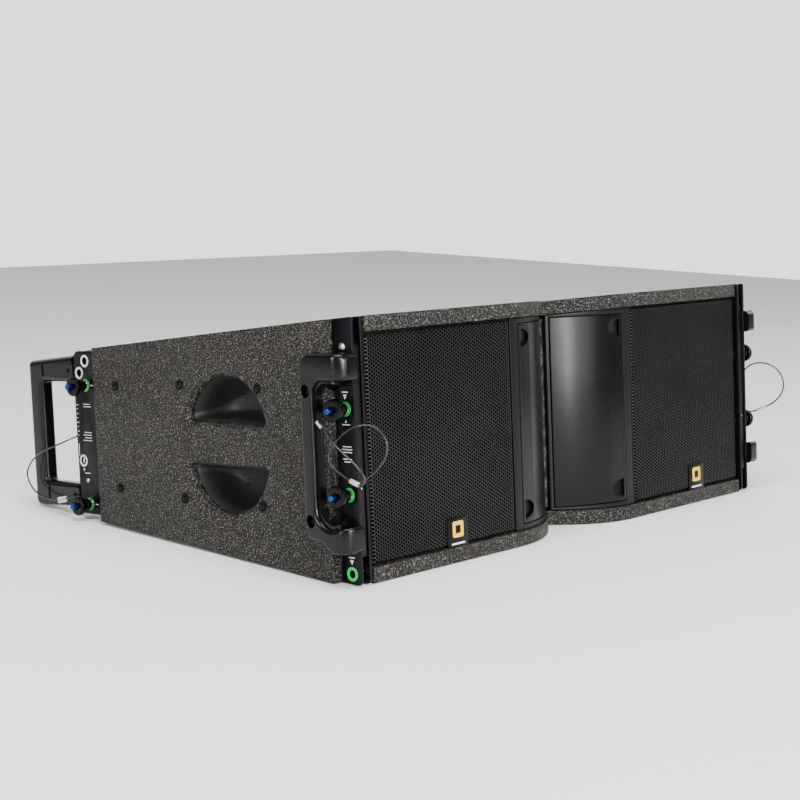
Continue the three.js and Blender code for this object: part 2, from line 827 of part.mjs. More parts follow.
placeBothSides("horn_flare", hornFlare(), BLACK_PLASTIC);
placeBothSides("horn_fin", fin(), SATIN_BLACK);
place(cabinet, "throat_screen", throatScreen(), FOAM);
place(cabinet, "waveguide", waveguide(), BLACK_PLASTIC);
place(cabinet, "compression_driver", compressionDriver(), CAST_FRAME);

placeBothSides("front_channel", frontChannel(), BLACK_STEEL);
placeBothSides("rear_channel", rearChannel(), BLACK_STEEL);
placeBothSides("front_link_bar", frontLinkBar(), GREY_STEEL);
placeBothSides("rear_link_bar", rearLinkBar(), GREY_STEEL);
placeBothSides("front_handle", frontHandle(), SATIN_BLACK);
placeBothSides("rear_handle", rearHandle(), SATIN_BLACK);

const PIN_PLACES = {
  front_upper: { y: FRONT_PIN_Y, z: FRONT_PIN_Z },
  front_lower: { y: FRONT_PIN_Y, z: -FRONT_PIN_Z },
  rear_upper: REAR_UPPER_PIN,
  rear_lower: REAR_LOWER_PIN,
};
for (const [where, spot] of Object.entries(PIN_PLACES)) {
  placeBothSides("pin_" + where, lockPin(spot), BLACK_STEEL);
  placeBothSides("button_" + where, lockButton(spot), BLUE_ALUMINIUM);
}

place(cabinet, "lanyard_front_left", lanyard(FRONT_LEFT_ROUTE, 60), COATED_WIRE);
place(cabinet, "lanyard_front_right", lanyard(FRONT_RIGHT_ROUTE, 50), COATED_WIRE);
placeBothSides("lanyard_rear", lanyard(REAR_ROUTE, 36), COATED_WIRE);

const part = new THREE.Group();
part.add(cabinet);
export default part;
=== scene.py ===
"""The looks of a compact line array loudspeaker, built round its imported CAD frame.

Shapes are drawn in the cabinet's own frame, in millimetres: x runs to the viewer's right, with 0 on
the centre line, y runs backwards from the cabinet's front edge, and z runs upwards from half height.
finish_piece() moves each one into the part's frame, in metres. Left-hand pieces are drawn at
negative x, and pair() adds their mirror images.
"""

import math

import bmesh
import bpy
from mathutils import Matrix, Vector


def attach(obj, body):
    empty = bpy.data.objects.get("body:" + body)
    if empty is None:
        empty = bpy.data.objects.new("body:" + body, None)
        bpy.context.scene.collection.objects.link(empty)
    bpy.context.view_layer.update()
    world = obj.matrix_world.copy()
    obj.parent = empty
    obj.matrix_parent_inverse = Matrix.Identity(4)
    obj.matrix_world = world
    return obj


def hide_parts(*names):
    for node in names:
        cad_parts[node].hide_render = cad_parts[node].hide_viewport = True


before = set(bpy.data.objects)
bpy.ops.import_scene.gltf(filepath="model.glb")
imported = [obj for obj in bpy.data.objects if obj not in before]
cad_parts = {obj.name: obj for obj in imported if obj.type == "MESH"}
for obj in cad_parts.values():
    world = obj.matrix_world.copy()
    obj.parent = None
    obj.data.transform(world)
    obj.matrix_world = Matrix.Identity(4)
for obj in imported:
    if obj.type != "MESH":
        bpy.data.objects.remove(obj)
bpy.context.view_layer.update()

# ---------- driving dimensions, as in the CAD ----------
HALF_HEIGHT = 125.0
HALF_WIDTH = 350.0
CENTRE_Y = 248.0
TAPER = math.tan(math.radians(5.0))
CABINET_DEPTH = 371.5
PLY = 15.0
RIM_HALF_WIDTH = 321.0
SIDE_FRONT = 24.0
LOBE_START = 100.0
LOBE_RADIUS = 130.0
LOBE_ARC_END = 18.0
CHEEK_X = 339.0
FRONT_PIN_Y = 10.5
FRONT_PIN_Z = 40.0
REAR_UPPER_PIN = (399.0, 51.5)
REAR_LOWER_PIN = (402.0, -77.0)
HANDLE_X = 363.0
REAR_HANDLE_END = 500.0
LOW_HOLE_Z = -114.0
OUTER_CHEEK = (-339, -336)
INNER_CHEEK = (-327.6, -324.6)
LINK_BAR = (-335.6, -328.0)
PIN_HOLE_RADIUS = 4.25
POCKET = {"y": 165.5, "radius": 57.0, "centre": 11.0, "flat": 21.0}
GRILLE = {"inner": 105.6, "outer": 320.3, "top": 108.8, "front": 1.6, "pitch": 3.66, "hole": 1.48}
WOOFER = {"x": -212.5, "front": 25.7}
FIN = {"outer": 91.3, "front": 3.2, "back": 6.3, "half_height": 102.7}
HINGE = {"x": 10.2, "depth": 4.8, "radius": 1.24}
WIRE_DIAMETER = 1.8

# ---------- camera and studio ----------
CAMERA_AT = (-1450.606, -1082.815, 189.685)
CAMERA_TURNS = (47.327, 5.259, -2.315)
LENS = 76.70
FLOOR_HALF_SIZE = 3.6
REAR_HANDLE_FOOT = 85.2
# Name, place, aim, width, height and power of each soft light, in metres and watts.
SOFTBOXES = [
    ("side", (-2.7, -0.25, 0.95), (-0.3, 0.0, 0.12), 0.3, 1.2, 46),
    ("front", (-0.95, -3.0, 0.75), (0.0, -0.2, 0.12), 0.35, 1.4, 85),
    ("wide", (-0.6, -3.1, 0.8), (0.0, -0.2, 0.12), 2.2, 1.5, 70),
    ("top", (-0.5, -0.6, 2.2), (0.0, 0.0, 0.2), 1.6, 1.2, 62),
    ("far", (1.8, -0.6, 1.2), (0.3, 0.0, 0.12), 0.5, 1.2, 8),
]

TO_PART = Matrix.Scale(0.001, 4) @ Matrix.Translation((0, -CENTRE_Y, HALF_HEIGHT))
MIRROR = Matrix.Scale(-1, 4, (1, 0, 0))
# Turn a flat outline's (u, v) into (y, z), (x, z) or (x, y).
PLANES = {
    "x": Matrix(((0, 0, 1, 0), (1, 0, 0, 0), (0, 1, 0, 0), (0, 0, 0, 1))),
    "y": Matrix(((1, 0, 0, 0), (0, 0, -1, 0), (0, 1, 0, 0), (0, 0, 0, 1))),
    "z": Matrix.Identity(4),
}


def place(x, y, z):
    """A point of the cabinet's frame in the part's frame."""
    return TO_PART @ Vector((x, y, z))


def top_z(y):
    return HALF_HEIGHT - y * TAPER


# ---------- materials ----------
def node(tree, kind, **inputs):
    made = tree.nodes.new(kind)
    for name, value in inputs.items():
        made.inputs[name.replace("_", " ")].default_value = value
    return made


def link(source, output, target, name):
    source.id_data.links.new(source.outputs[output], target.inputs[name])


def ramp(tree, stops):
    made = tree.nodes.new("ShaderNodeValToRGB")
    elements = made.color_ramp.elements
    while len(elements) < len(stops):
        elements.new(0.5)
    for element, (position, colour) in zip(elements, stops):
        element.position = position
        element.color = (*colour, 1)
    return made


def coloured(tree, shader, source, output, stops):
    """Colours a surface by a ramp along another node's output."""
    colour = ramp(tree, stops)
    link(source, output, colour, "Fac")
    link(colour, "Color", shader, "Base Color")


def noise(tree, coords, scale, detail=3.0, distortion=0.0):
    made = node(tree, "ShaderNodeTexNoise", Scale=scale, Detail=detail, Distortion=distortion)
    link(coords, "Vector", made, "Vector")
    return made


def surface(name, metallic=0.0, coat=0.0, specular=0.5):
    """A new material with its tree, shader and a mapping of the piece's own coordinates."""
    material = bpy.data.materials.new(name)
    material.use_nodes = True
    tree = material.node_tree
    shader = tree.nodes["Principled BSDF"]
    shader.inputs["Metallic"].default_value = metallic
    shader.inputs["Coat Weight"].default_value = coat
    shader.inputs["Coat Roughness"].default_value = 0.25
    shader.inputs["Specular IOR Level"].default_value = specular
    place_node = tree.nodes.new("ShaderNodeTexCoord")
    coords = tree.nodes.new("ShaderNodeMapping")
    link(place_node, "Object", coords, "Vector")
    return material, tree, shader, coords


def bump(tree, shader, source, output, strength, distance):
    made = node(tree, "ShaderNodeBump", Strength=strength, Distance=distance)
    link(source, output, made, "Height")
    link(made, "Normal", shader, "Normal")


def rough_between(tree, shader, source, low, high):
    """Lets the roughness vary between two values with a noise."""
    made = node(tree, "ShaderNodeMapRange", To_Min=low, To_Max=high)
    link(source, "Fac", made, "Value")
    link(made, "Result", shader, "Roughness")


def textured_paint():
    """Thick cabinet paint: dark brown-grey wormy lumps, with painted highlights on their tops and
    painted shade in the gaps between them.
    """
    material, tree, shader, coords = surface("cabinet_paint", specular=0.2)
    lumps = noise(tree, coords, 760.0, detail=2.0, distortion=0.9)
    grains = noise(tree, coords, 1500.0, detail=2.0)
    patches = noise(tree, coords, 9.0, detail=2.0)
    height = tree.nodes.new("ShaderNodeMath")
    height.operation = "MULTIPLY_ADD"
    height.inputs[1].default_value = 0.35
    link(grains, "Fac", height, 0)
    link(lumps, "Fac", height, 2)
    # The ramp along the lump height paints the gaps near-black as painted shade and the lump tops pale
    # as painted highlights, on top of the bump's own shading.
    stops = [(0.58, (0.0003, 0.0003, 0.0002)), (0.68, (0.0011, 0.0010, 0.0008))]
    stops += [(0.76, (0.0085, 0.0077, 0.0067)), (0.83, (0.23, 0.211, 0.185))]
    colour = ramp(tree, stops)
    link(height, "Value", colour, "Fac")
    tone = ramp(tree, [(0.35, (0.82, 0.80, 0.78)), (0.65, (1.0, 1.0, 1.0))])
    link(patches, "Fac", tone, "Fac")
    mix = tree.nodes.new("ShaderNodeMix")
    mix.data_type = "RGBA"
    mix.blend_type = "MULTIPLY"
    mix.inputs["Factor"].default_value = 1.0
    link(colour, "Color", mix, "A")
    link(tone, "Color", mix, "B")
    link(mix, "Result", shader, "Base Color")
    rough_between(tree, shader, lumps, 0.55, 0.36)
    bump(tree, shader, height, "Value", 0.9, 0.0010)
    return material


def moulded(name, dark, light, rough, grain_scale, grain, coat=0.0, specular=0.5):
    """Moulded plastic or enamelled metal: slow colour drift, fine grain and uneven gloss."""
    material, tree, shader, coords = surface(name, coat=coat, specular=specular)
    drift = noise(tree, coords, 14.0, detail=4.0)
    coloured(tree, shader, drift, "Fac", [(0.3, dark), (0.7, light)])
    smudges = noise(tree, coords, 45.0, detail=5.0, distortion=0.4)
    rough_between(tree, shader, smudges, rough[0], rough[1])
    grains = noise(tree, coords, grain_scale, detail=2.0)
    bump(tree, shader, grains, "Fac", grain, 0.0002)
    return material


def brushed(name, dark, light, rough, stretch=(6.0, 6.0, 0.35), metallic=1.0):
    """Metal with fine scratches drawn out along one direction."""
    material, tree, shader, coords = surface(name, metallic=metallic)
    coords.inputs["Scale"].default_value = stretch
    scratches = noise(tree, coords, 260.0, detail=4.0)
    coloured(tree, shader, scratches, "Fac", [(0.3, dark), (0.7, light)])
    rough_between(tree, shader, scratches, rough[0], rough[1])
    bump(tree, shader, scratches, "Fac", 0.25, 0.0002)
    return material


def gauze():
    """Light grey open gauze with dark specks."""
    material, tree, shader, coords = surface("throat_gauze", specular=0.2)
    threads = noise(tree, coords, 700.0, detail=4.0, distortion=1.2)
    blotches = noise(tree, coords, 90.0, detail=3.0, distortion=0.6)
    total = tree.nodes.new("ShaderNodeMath")
    total.operation = "MULTIPLY"
    link(threads, "Fac", total, 0)
    link(blotches, "Fac", total, 1)
    stops = [(0.15, (0.004, 0.0042, 0.004)), (0.27, (0.022, 0.023, 0.021))]
    stops.append((0.40, (0.12, 0.124, 0.114)))
    coloured(tree, shader, total, "Value", stops)
    shader.inputs["Roughness"].default_value = 0.9
    bump(tree, shader, threads, "Fac", 0.8, 0.001)
    return material


PAINT = textured_paint()
BLACK_PLASTIC = moulded(
    "black_plastic", (0.0025, 0.0025, 0.0026), (0.0045, 0.0044, 0.0043), (0.36, 0.48), 1400.0, 0.25,
    specular=0.2,
)
POCKET_PLASTIC = moulded(
    "pocket_plastic", (0.012, 0.012, 0.0118), (0.02, 0.0198, 0.0195), (0.42, 0.55), 1400.0, 0.3,
    specular=0.3,
)
FIN_PLASTIC = moulded(
    "fin_plastic", (0.0022, 0.0021, 0.002), (0.004, 0.0038, 0.0036), (0.25, 0.31), 1800.0, 0.05,
    specular=0.19,
)
HANDLE_PLASTIC = moulded(
    "handle_plastic", (0.0018, 0.0018, 0.0018), (0.0036, 0.0035, 0.0033), (0.19, 0.26), 1300.0, 0.1,
    specular=0.25,
)
RIG_PAINT = moulded(
    "rigging_powder_coat", (0.0018, 0.002, 0.0034), (0.0032, 0.0035, 0.0056), (0.3, 0.4), 1500.0, 0.3,
    specular=0.14,
)
GRILLE_PAINT = moulded(
    "grille_powder_coat", (0.005, 0.005, 0.0049), (0.009, 0.009, 0.0087), (0.36, 0.48), 1600.0, 0.3,
    specular=0.3,
)
PIN_BLACK = moulded(
    "pin_black", (0.0008, 0.0008, 0.0008), (0.002, 0.002, 0.002), (0.2, 0.3), 1600.0, 0.12,
    specular=0.14,
)
RUBBER = moulded(
    "rubber", (0.004, 0.004, 0.004), (0.008, 0.008, 0.0075), (0.6, 0.75), 1200.0, 0.2, specular=0.15
)
CLOTH = moulded(
    "grille_cloth", (0.001, 0.001, 0.001), (0.003, 0.003, 0.003), (0.9, 1.0), 2200.0, 0.6,
    specular=0.05,
)
CONE_PAPER = moulded(
    "cone_paper", (0.006, 0.006, 0.006), (0.011, 0.0105, 0.01), (0.8, 0.9), 500.0, 0.6, specular=0.15
)
GREEN = moulded("green_enamel", (0.001, 0.30, 0.035), (0.004, 0.52, 0.07), (0.26, 0.36), 900.0, 0.05)
WHITE = moulded("white_print", (0.55, 0.55, 0.55), (0.72, 0.72, 0.72), (0.4, 0.55), 900.0, 0.1)
YELLOW = moulded("yellow_print", (0.72, 0.40, 0.01), (0.84, 0.52, 0.02), (0.3, 0.4), 900.0, 0.08)
BLUE = brushed("blue_anodised", (0.004, 0.035, 0.15), (0.014, 0.095, 0.32), (0.2, 0.32))
SILVER = brushed("plated_steel", (0.50, 0.49, 0.47), (0.80, 0.79, 0.77), (0.16, 0.3))
LINK_STEEL = brushed("dark_brushed_steel", (0.012, 0.0115, 0.011), (0.045, 0.043, 0.04), (0.30, 0.46))
CAST = moulded("cast_metal", (0.02, 0.02, 0.02), (0.04, 0.04, 0.04), (0.45, 0.6), 700.0, 0.5)
CRIMP = brushed(
    "crimp_alloy", (0.50, 0.50, 0.49), (0.72, 0.72, 0.70), (0.34, 0.48), metallic=0.5
)
WIRE = moulded(
    "coated_wire", (0.006, 0.0059, 0.0058), (0.012, 0.0118, 0.0115), (0.2, 0.28), 900.0, 0.05, coat=0.15
)
SLEEVE = moulded("clear_sleeve", (0.22, 0.22, 0.22), (0.48, 0.48, 0.47), (0.2, 0.3), 700.0, 0.1)
GAUZE = gauze()


# ---------- meshes ----------
def in_scene(name, data):
    """A new object in the scene."""
    obj = bpy.data.objects.new(name, data)
    bpy.context.scene.collection.objects.link(obj)
    return obj


def as_bmesh(*meshes):
    bm = bmesh.new()
    for mesh in meshes:
        bm.from_mesh(mesh)
    return bm


def as_mesh(bm):
    mesh = bpy.data.meshes.new("mesh")
    bm.to_mesh(mesh)
    bm.free()
    return mesh


def joined(*meshes):
    return as_mesh(as_bmesh(*meshes))


def cleaned(bm, distance=0.002):
    """A finished mesh from a bmesh: welded, facing outwards."""
    bmesh.ops.remove_doubles(bm, verts=bm.verts, dist=distance)
    bmesh.ops.recalc_face_normals(bm, faces=bm.faces)
    return as_mesh(bm)


def evaluated(obj):
    """The mesh that an object's modifiers make. The object itself is removed."""
    graph = bpy.context.evaluated_depsgraph_get()
    mesh = bpy.data.meshes.new_from_object(obj.evaluated_get(graph))
    bpy.data.objects.remove(obj)
    return mesh


def boolean(operation, mesh, *tools):
    """Joins, cuts or intersects a mesh with others, one after another."""
    for tool in tools:
        target, other = in_scene("target", mesh), in_scene("tool", tool)
        step = target.modifiers.new("boolean", "BOOLEAN")
        step.operation = operation
        step.solver = "EXACT"
        step.object = other
        mesh = evaluated(target)
        bpy.data.objects.remove(other)
    return mesh


def bevelled(mesh, width, segments, angle, clamp=True):
    """A mesh whose sharp edges are rounded. Clamping keeps the width within the shortest edge."""
    bm = as_bmesh(mesh)
    flat = math.radians(0.5)
    bmesh.ops.dissolve_limit(bm, angle_limit=flat, verts=bm.verts, edges=bm.edges)
    obj = in_scene("bevelled", cleaned(bm))
    step = obj.modifiers.new("bevel", "BEVEL")
    step.width = width
    step.segments = segments
    step.limit_method = "ANGLE"
    step.angle_limit = math.radians(angle)
    step.use_clamp_overlap = clamp
    step.miter_outer = "MITER_ARC"
    return evaluated(obj)


def rounded(corners, steps=6):
    """A closed outline. A corner is (u, v), or (u, v, r) to round it to radius r."""
    points = []
    for i, corner in enumerate(corners):
        here = Vector(corner[:2])
        radius = corner[2] if len(corner) > 2 else 0.0
        if not radius:
            points.append(tuple(here))
            continue
        before = (Vector(corners[i - 1][:2]) - here).normalized()
        after = (Vector(corners[(i + 1) % len(corners)][:2]) - here).normalized()
        half = before.angle(after) / 2
        middle = here + (before + after).normalized() * (radius / math.sin(half))
        start = here + before * (radius / math.tan(half)) - middle
        end = here + after * (radius / math.tan(half)) - middle
        turn = start.angle_signed(end)
        for k in range(steps + 1):
            swing = -turn * k / steps
            c, s = math.cos(swing), math.sin(swing)
            u = middle.x + start.x * c - start.y * s
            v = middle.y + start.x * s + start.y * c
            points.append((u, v))
    return points


def rectangle(left, low, right, high, radius, steps=6):
    """A rectangle's outline with all its corners rounded to one radius."""
    corners = [(left, low), (right, low), (right, high), (left, high)]
    return rounded([(u, v, radius) for u, v in corners], steps)


def circle(u, v, radius, steps=32):
    angles = [2 * math.pi * k / steps for k in range(steps)]
    return [(u + radius * math.cos(a), v + radius * math.sin(a)) for a in angles]


def loft(sections, plane, weld=1e-5):
    """A closed solid through outlines of the same number of points, each (outline, distance)."""
    bm = bmesh.new()
    turn = PLANES[plane]
    rings = [[bm.verts.new(turn @ Vector((u, v, w))) for u, v in outline] for outline, w in sections]
    bm.faces.new(rings[0])
    bm.faces.new(rings[-1])
    for first, second in zip(rings, rings[1:]):
        for i in range(len(first)):
            j = (i + 1) % len(first)
            bm.faces.new((first[i], first[j], second[j], second[i]))
    return cleaned(bm, weld)


def prism(outline, plane, low, high):
    """A plain closed prism from an outline, along x, y or z."""
    flip = -1 if plane == "y" else 1
    return loft([(outline, flip * low), (outline, flip * high)], plane, weld=0.002)


def plate(outline, holes, plane, low, high, bevel=0.6, resolution=2):
    """A flat plate with holes and rounded edges, along x, y or z."""
    curve = bpy.data.curves.new("plate", "CURVE")
    curve.dimensions = "2D"
    curve.fill_mode = "BOTH"
    for points in [outline, *holes]:
        spline = curve.splines.new("POLY")
        spline.points.add(len(points) - 1)
        for point, (u, v) in zip(spline.points, points):
            point.co = (u, v, 0, 1)
        spline.use_cyclic_u = True
    curve.extrude = (high - low) / 2 - bevel
    curve.bevel_depth = bevel
    curve.bevel_resolution = resolution
    curve.offset = -bevel
    mesh = evaluated(in_scene("plate", curve))
    middle = (low + high) / 2 * (-1 if plane == "y" else 1)
    mesh.transform(PLANES[plane] @ Matrix.Translation((0, 0, middle)))
    return cleaned(as_bmesh(mesh))


def box(x, y, z):
    return prism([(y[0], z[0]), (y[1], z[0]), (y[1], z[1]), (y[0], z[1])], "x", *x)


def stood(mesh, centre, axis):
    """A mesh drawn up the z axis, moved to stand at centre along another axis."""
    turn = Vector((0, 0, 1)).rotation_difference(Vector(axis)).to_matrix().to_4x4()
    mesh.transform(Matrix.Translation(centre) @ turn)
    return mesh


def lathe(profile, centre, axis, steps=48):
    """Turns a profile of (radius, distance along the axis) about a line through centre.
    A profile that doesn't start and end on the axis is closed into a ring."""
    bm = bmesh.new()
    rings = []
    for radius, along in profile:
        count = 1 if radius < 1e-6 else steps
        spots = circle(0, 0, radius, steps)[:count]
        rings.append([bm.verts.new((u, v, along)) for u, v in spots])
    pairs = list(zip(rings, rings[1:]))
    if len(rings[0]) > 1:
        pairs.append((rings[-1], rings[0]))
    for first, second in pairs:
        for k in range(steps):
            j = (k + 1) % steps
            corners = [first[k % len(first)], first[j % len(first)]]
            corners += [second[j % len(second)], second[k % len(second)]]
            corners = list(dict.fromkeys(corners))
            if len(corners) > 2:
                bm.faces.new(corners)
    return stood(cleaned(bm), centre, axis)


def soft_profile(corners, steps=4):
    """A lathe profile with rounded corners, from the axis back to the axis."""
    return [(max(0.0, r), a) for r, a in rounded(corners, steps)]


def finish_piece(name, mesh, material, replaces=(), body="cabinet", smooth=32.0):
    """Puts a mesh drawn in the cabinet's frame into the scene, on its body."""
    mesh = mesh.copy()
    mesh.transform(TO_PART)
    mesh.materials.clear()
    mesh.materials.append(material)
    mesh.name = name
    obj = in_scene(name, mesh)
    for face in mesh.polygons:
        face.use_smooth = True
    mesh.set_sharp_from_angle(angle=math.radians(smooth))
    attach(obj, body)
    if replaces:
        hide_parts(*replaces)
    return obj


def mirrored(mesh):
    other = mesh.copy()
    other.transform(MIRROR)
    other.flip_normals()
    return other


def pair(name, mesh, material, replaces=(), body="cabinet", smooth=32.0):
    """Adds a left-hand piece and its mirror image. {} in a name stands for the side."""
    for side, shape in (("left", mesh), ("right", mirrored(mesh))):
        stood_for = [other.format(side) for other in replaces]
        finish_piece(name.format(side), shape, material, stood_for, body.format(side), smooth)


# ---------- camera ----------
def camera():
    data = bpy.data.cameras.new("camera")
    data.sensor_width = 36.0
    data.lens = LENS
    data.clip_end = 50.0
    obj = in_scene("camera", data)
    yaw, pitch, roll = (math.radians(a) for a in CAMERA_TURNS)
    level = math.cos(pitch)
    forward = Vector((math.sin(yaw) * level, math.cos(yaw) * level, -math.sin(pitch)))
    right = Vector((math.cos(yaw), -math.sin(yaw), 0))
    up = right.cross(forward)
    c, s = math.cos(roll), math.sin(roll)
    turn = Matrix((right * c + up * s, up * c - right * s, -forward)).transposed().to_4x4()
    obj.matrix_world = Matrix.Translation(place(*CAMERA_AT)) @ turn
    bpy.context.scene.camera = obj


camera()


# ---------- lanyards ----------
# The routes follow the CAD's, in the cabinet's frame.
FRONT_LEFT_ROUTE = [
    (-347, 8.5, -32.4), (-348.5, 2, -30.4), (-349.5, -5.7, -28.1), (-348.5, -12, -25.8),
    (-346, -18.6, -22.2), (-342.5, -29.6, -13.7), (-339, -36.8, -2.8), (-338.5, -39.5, 10.5),
    (-341, -32.3, 22.7), (-345, -23.9, 27), (-350, -11.8, 25.8), (-352.5, -1, 20.3),
    (-353.2, 7.3, 14.2), (-353.5, 16.5, 5), (-353.8, 20.5, -4.5), (-354, 16.1, -11.4),
    (-353.6, 6.6, -17.8), (-353, -3.5, -22.9), (-352.8, -12.5, -26.2), (-353, -19.8, -27),
    (-353.8, -24.6, -23.6), (-354.8, -24.4, -18.2), (-356.2, -19.6, -11), (-358.5, -5.1, 0.8),
    (-359.5, 6.6, 9.6), (-358, 17.5, 18.2), (-357, 21.5, 24), (-357, 25.5, 27.6),
    (-357, 30.2, 28.6),
]
FRONT_RIGHT_ROUTE = [
    (347, 8.5, -32.4), (349, 2, -31.2), (351, -6.3, -29.8), (352, -18.5, -25), (353, -31, -18.6),
    (353, -40.5, -9), (353, -44.5, 2), (353, -41.5, 14), (352.5, -34.5, 22.2), (352, -23.5, 27.3),
    (352, -11, 28.3), (352.5, 1.5, 24.6), (353.5, 11, 16.5), (354, 16.5, 5), (354.5, 16.5, -7),
    (355.5, 18.5, -16), (357.5, 23.5, -17), (358.5, 26.3, -8), (358.5, 26.5, 4),
    (357.5, 25.5, 16), (357, 26.4, 24.5), (357, 30.2, 28.6),
]
REAR_ROUTE = [
    (-347, 405, -69), (-348.5, 414, -68.6), (-350, 428, -71), (-350, 445, -74.2),
    (-350, 460, -74.4), (-350, 480.4, -70.4), (-350, 494, -61.5), (-350, 499.5, -49),
    (-350, 491.5, -36.2), (-350, 472, -24.3), (-348, 448.5, -15.7), (-342.5, 433.5, -9.6),
    (-336, 425.5, -5.6), (-330.5, 421.9, -3.4), (-326.3, 421, -2.4),
]


def smooth_line(points, steps=8):
    """A smooth line through points, as a centripetal Catmull-Rom curve."""
    points = [Vector(p) for p in points]
    ends = [2 * points[0] - points[1], *points, 2 * points[-1] - points[-2]]
    line = []
    for a, b, c, d in zip(ends, ends[1:], ends[2:], ends[3:]):
        ab, bc, cd = ((q - p).length ** 0.5 for p, q in ((a, b), (b, c), (c, d)))
        start = (b - a) / ab - (c - a) / (ab + bc) + (c - b) / bc
        end = (c - b) / bc - (d - b) / (bc + cd) + (d - c) / cd
        start, end = start * bc, end * bc
        for k in range(steps):
            t = k / steps
            line.append(
                (2 * t**3 - 3 * t**2 + 1) * b
                + (t**3 - 2 * t**2 + t) * start
                + (3 * t**2 - 2 * t**3) * c
                + (t**3 - t**2) * end
            )
    line.append(points[-1])
    return line


def lanyard(name, route):
    """A coated wire along its route, on the cabinet."""
    line = [place(*p) for p in smooth_line(route)]
    curve = bpy.data.curves.new(name, "CURVE")
    curve.dimensions = "3D"
    curve.bevel_depth = WIRE_DIAMETER / 2000
    curve.bevel_resolution = 4
    curve.use_fill_caps = True
    spline = curve.splines.new("POLY")
    spline.points.add(len(line) - 1)
    for point, co in zip(spline.points, line):
        point.co = (*co, 1)
    curve.materials.append(WIRE)
    obj = in_scene(name, curve)
    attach(obj, "cabinet")
    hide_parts(name)
    tuple(line[0])


def mirror_route(route):
    return [(-x, y, z) for x, y, z in route]


def ferrule(name, start, end, radius=1.9, doubled=True):
    """A crimped sleeve between two points: two tubes side by side where the wire is doubled."""
    start, end = Vector(start), Vector(end)
    axis = end - start
    corners = [(0, 0), (radius, 0, 0.5), (radius, axis.length, 0.5), (0, axis.length)]
    profile = soft_profile(corners, steps=3)
    side = axis.cross(Vector((1, 0, 0))).normalized() * radius * 0.8
    shifts = (side, -side) if doubled else (Vector((0, 0, 0)),)
    tubes = [lathe(profile, start + shift, axis.normalized(), 20) for shift in shifts]
    return finish_piece(name, joined(*tubes), CRIMP)


def thimble(name, x):
    """A clear sleeve over the doubled wire where a lanyard is fixed to its handle."""
    way = Vector((0.0, -0.75, -0.66)).normalized()
    profile = soft_profile([(0, -1.0), (1.7, -1.0, 0.4), (1.7, 6.5, 0.4), (0, 6.5)], steps=3)
    return finish_piece(name, lathe(profile, (x, 30.0, 28.4), way, 20), SLEEVE)


crimp_left = ferrule("ferrule_front_left", (-352.9, -5.5, -23.9), (-353.0, -15.5, -26.8), 2.3, False)
crimp_right = ferrule("ferrule_front_right", (351.6, -9, -28.4), (352.6, -20, -24.6), 2.0, False)
sleeve_left = thimble("thimble_left", -357)
sleeve_right = thimble("thimble_right", 357)
rear_left = ferrule("ferrule_rear_left", (-350, 430, -72.3), (-350, 444, -74.6))
rear_right = ferrule("ferrule_rear_right", (350, 430, -72.3), (350, 444, -74.6))
lanyard("lanyard_front_left", FRONT_LEFT_ROUTE)
lanyard("lanyard_front_right", FRONT_RIGHT_ROUTE)
lanyard("lanyard_rear_left", REAR_ROUTE)
lanyard("lanyard_rear_right", mirror_route(REAR_ROUTE))


# ---------- cabinet ----------
def wedge(inset, x, near=-40.0, far=600.0):
    """Everything between the sloping top and bottom, both moved in by inset."""
    low, high = top_z(near) - inset, top_z(far) - inset
    return prism([(near, -low), (far, -high), (far, high), (near, low)], "x", -x, x)


def lobe_y(x):
    """How far back the horn mouth's edge lies at a distance x from the centre line."""
    reach = max(0.0, LOBE_START - abs(x))
    arc = LOBE_START - LOBE_ARC_END
    height = math.sqrt(LOBE_RADIUS**2 - arc**2)
    if reach <= arc:
        return LOBE_RADIUS - math.sqrt(LOBE_RADIUS**2 - reach**2)
    return LOBE_RADIUS - height + (reach - arc) * arc / height


def lobe_line(start, end, offset=0.0):
    """Points along the left-hand lobe, offset backwards."""
    xs = [start + (end - start) * k / 36 for k in range(37)]
    return [(-x, lobe_y(x) + offset) for x in xs]


def half_moon(inset, up, corner=5.0, flat_inset=None):
    """A half disc whose flat side is towards mid-height, with rounded ends."""
    radius = POCKET["radius"] - inset
    flat = POCKET["flat"] + (inset if flat_inset is None else flat_inset)
    start = math.asin((flat - POCKET["centre"]) / radius)
    trim = corner / math.tan((math.pi / 2 - start) / 2) / radius
    angles = [start + trim + (math.pi - 2 * (start + trim)) * k / 60 for k in range(61)]
    reach = radius * math.cos(start)
    arc = [(radius * math.cos(a), POCKET["centre"] + radius * math.sin(a)) for a in angles]
    line = rounded([(reach, flat, corner * 0.98), *arc, (-reach, flat, corner * 0.98)], steps=8)
    return [(POCKET["y"] + u, up * v) for u, v in evenly(line, 96)]


def evenly(points, count):
    """The same closed outline with evenly spaced points."""
    points = [Vector(p) for p in points]
    ends = points[1:] + points[:1]
    lengths = [(b - a).length for a, b in zip(points, ends)]
    step = sum(lengths) / count
    spread, passed = [], 0.0
    for a, b, length in zip(points, ends, lengths):
        while len(spread) * step < passed + length - 1e-7 and len(spread) < count:
            spread.append(tuple(a.lerp(b, (len(spread) * step - passed) / length)))
        passed += length
    return spread


def shrunk(points, factor):
    """An outline scaled about its middle."""
    u, v = (sum(p[i] for p in points) / len(points) for i in (0, 1))
    return [(u + factor * (p[0] - u), v + factor * (p[1] - v)) for p in points]


def pocket_mouth(up):
    """What is cut from the left side panel for a pocket, flared so that its edge rolls in."""
    roll = 6.0
    angles = [math.pi / 2 * k / 8 for k in range(9)]
    sections = [(half_moon(-roll, up), -HALF_WIDTH - 9.0)]
    for a in angles:
        inset = roll * (math.sin(a) - 1)
        sections.append((half_moon(inset, up), roll * (1 - math.cos(a)) - HALF_WIDTH - 0.01))
    sections.append((half_moon(0, up), 9.0 + PLY - HALF_WIDTH))
    return loft(sections, "x")


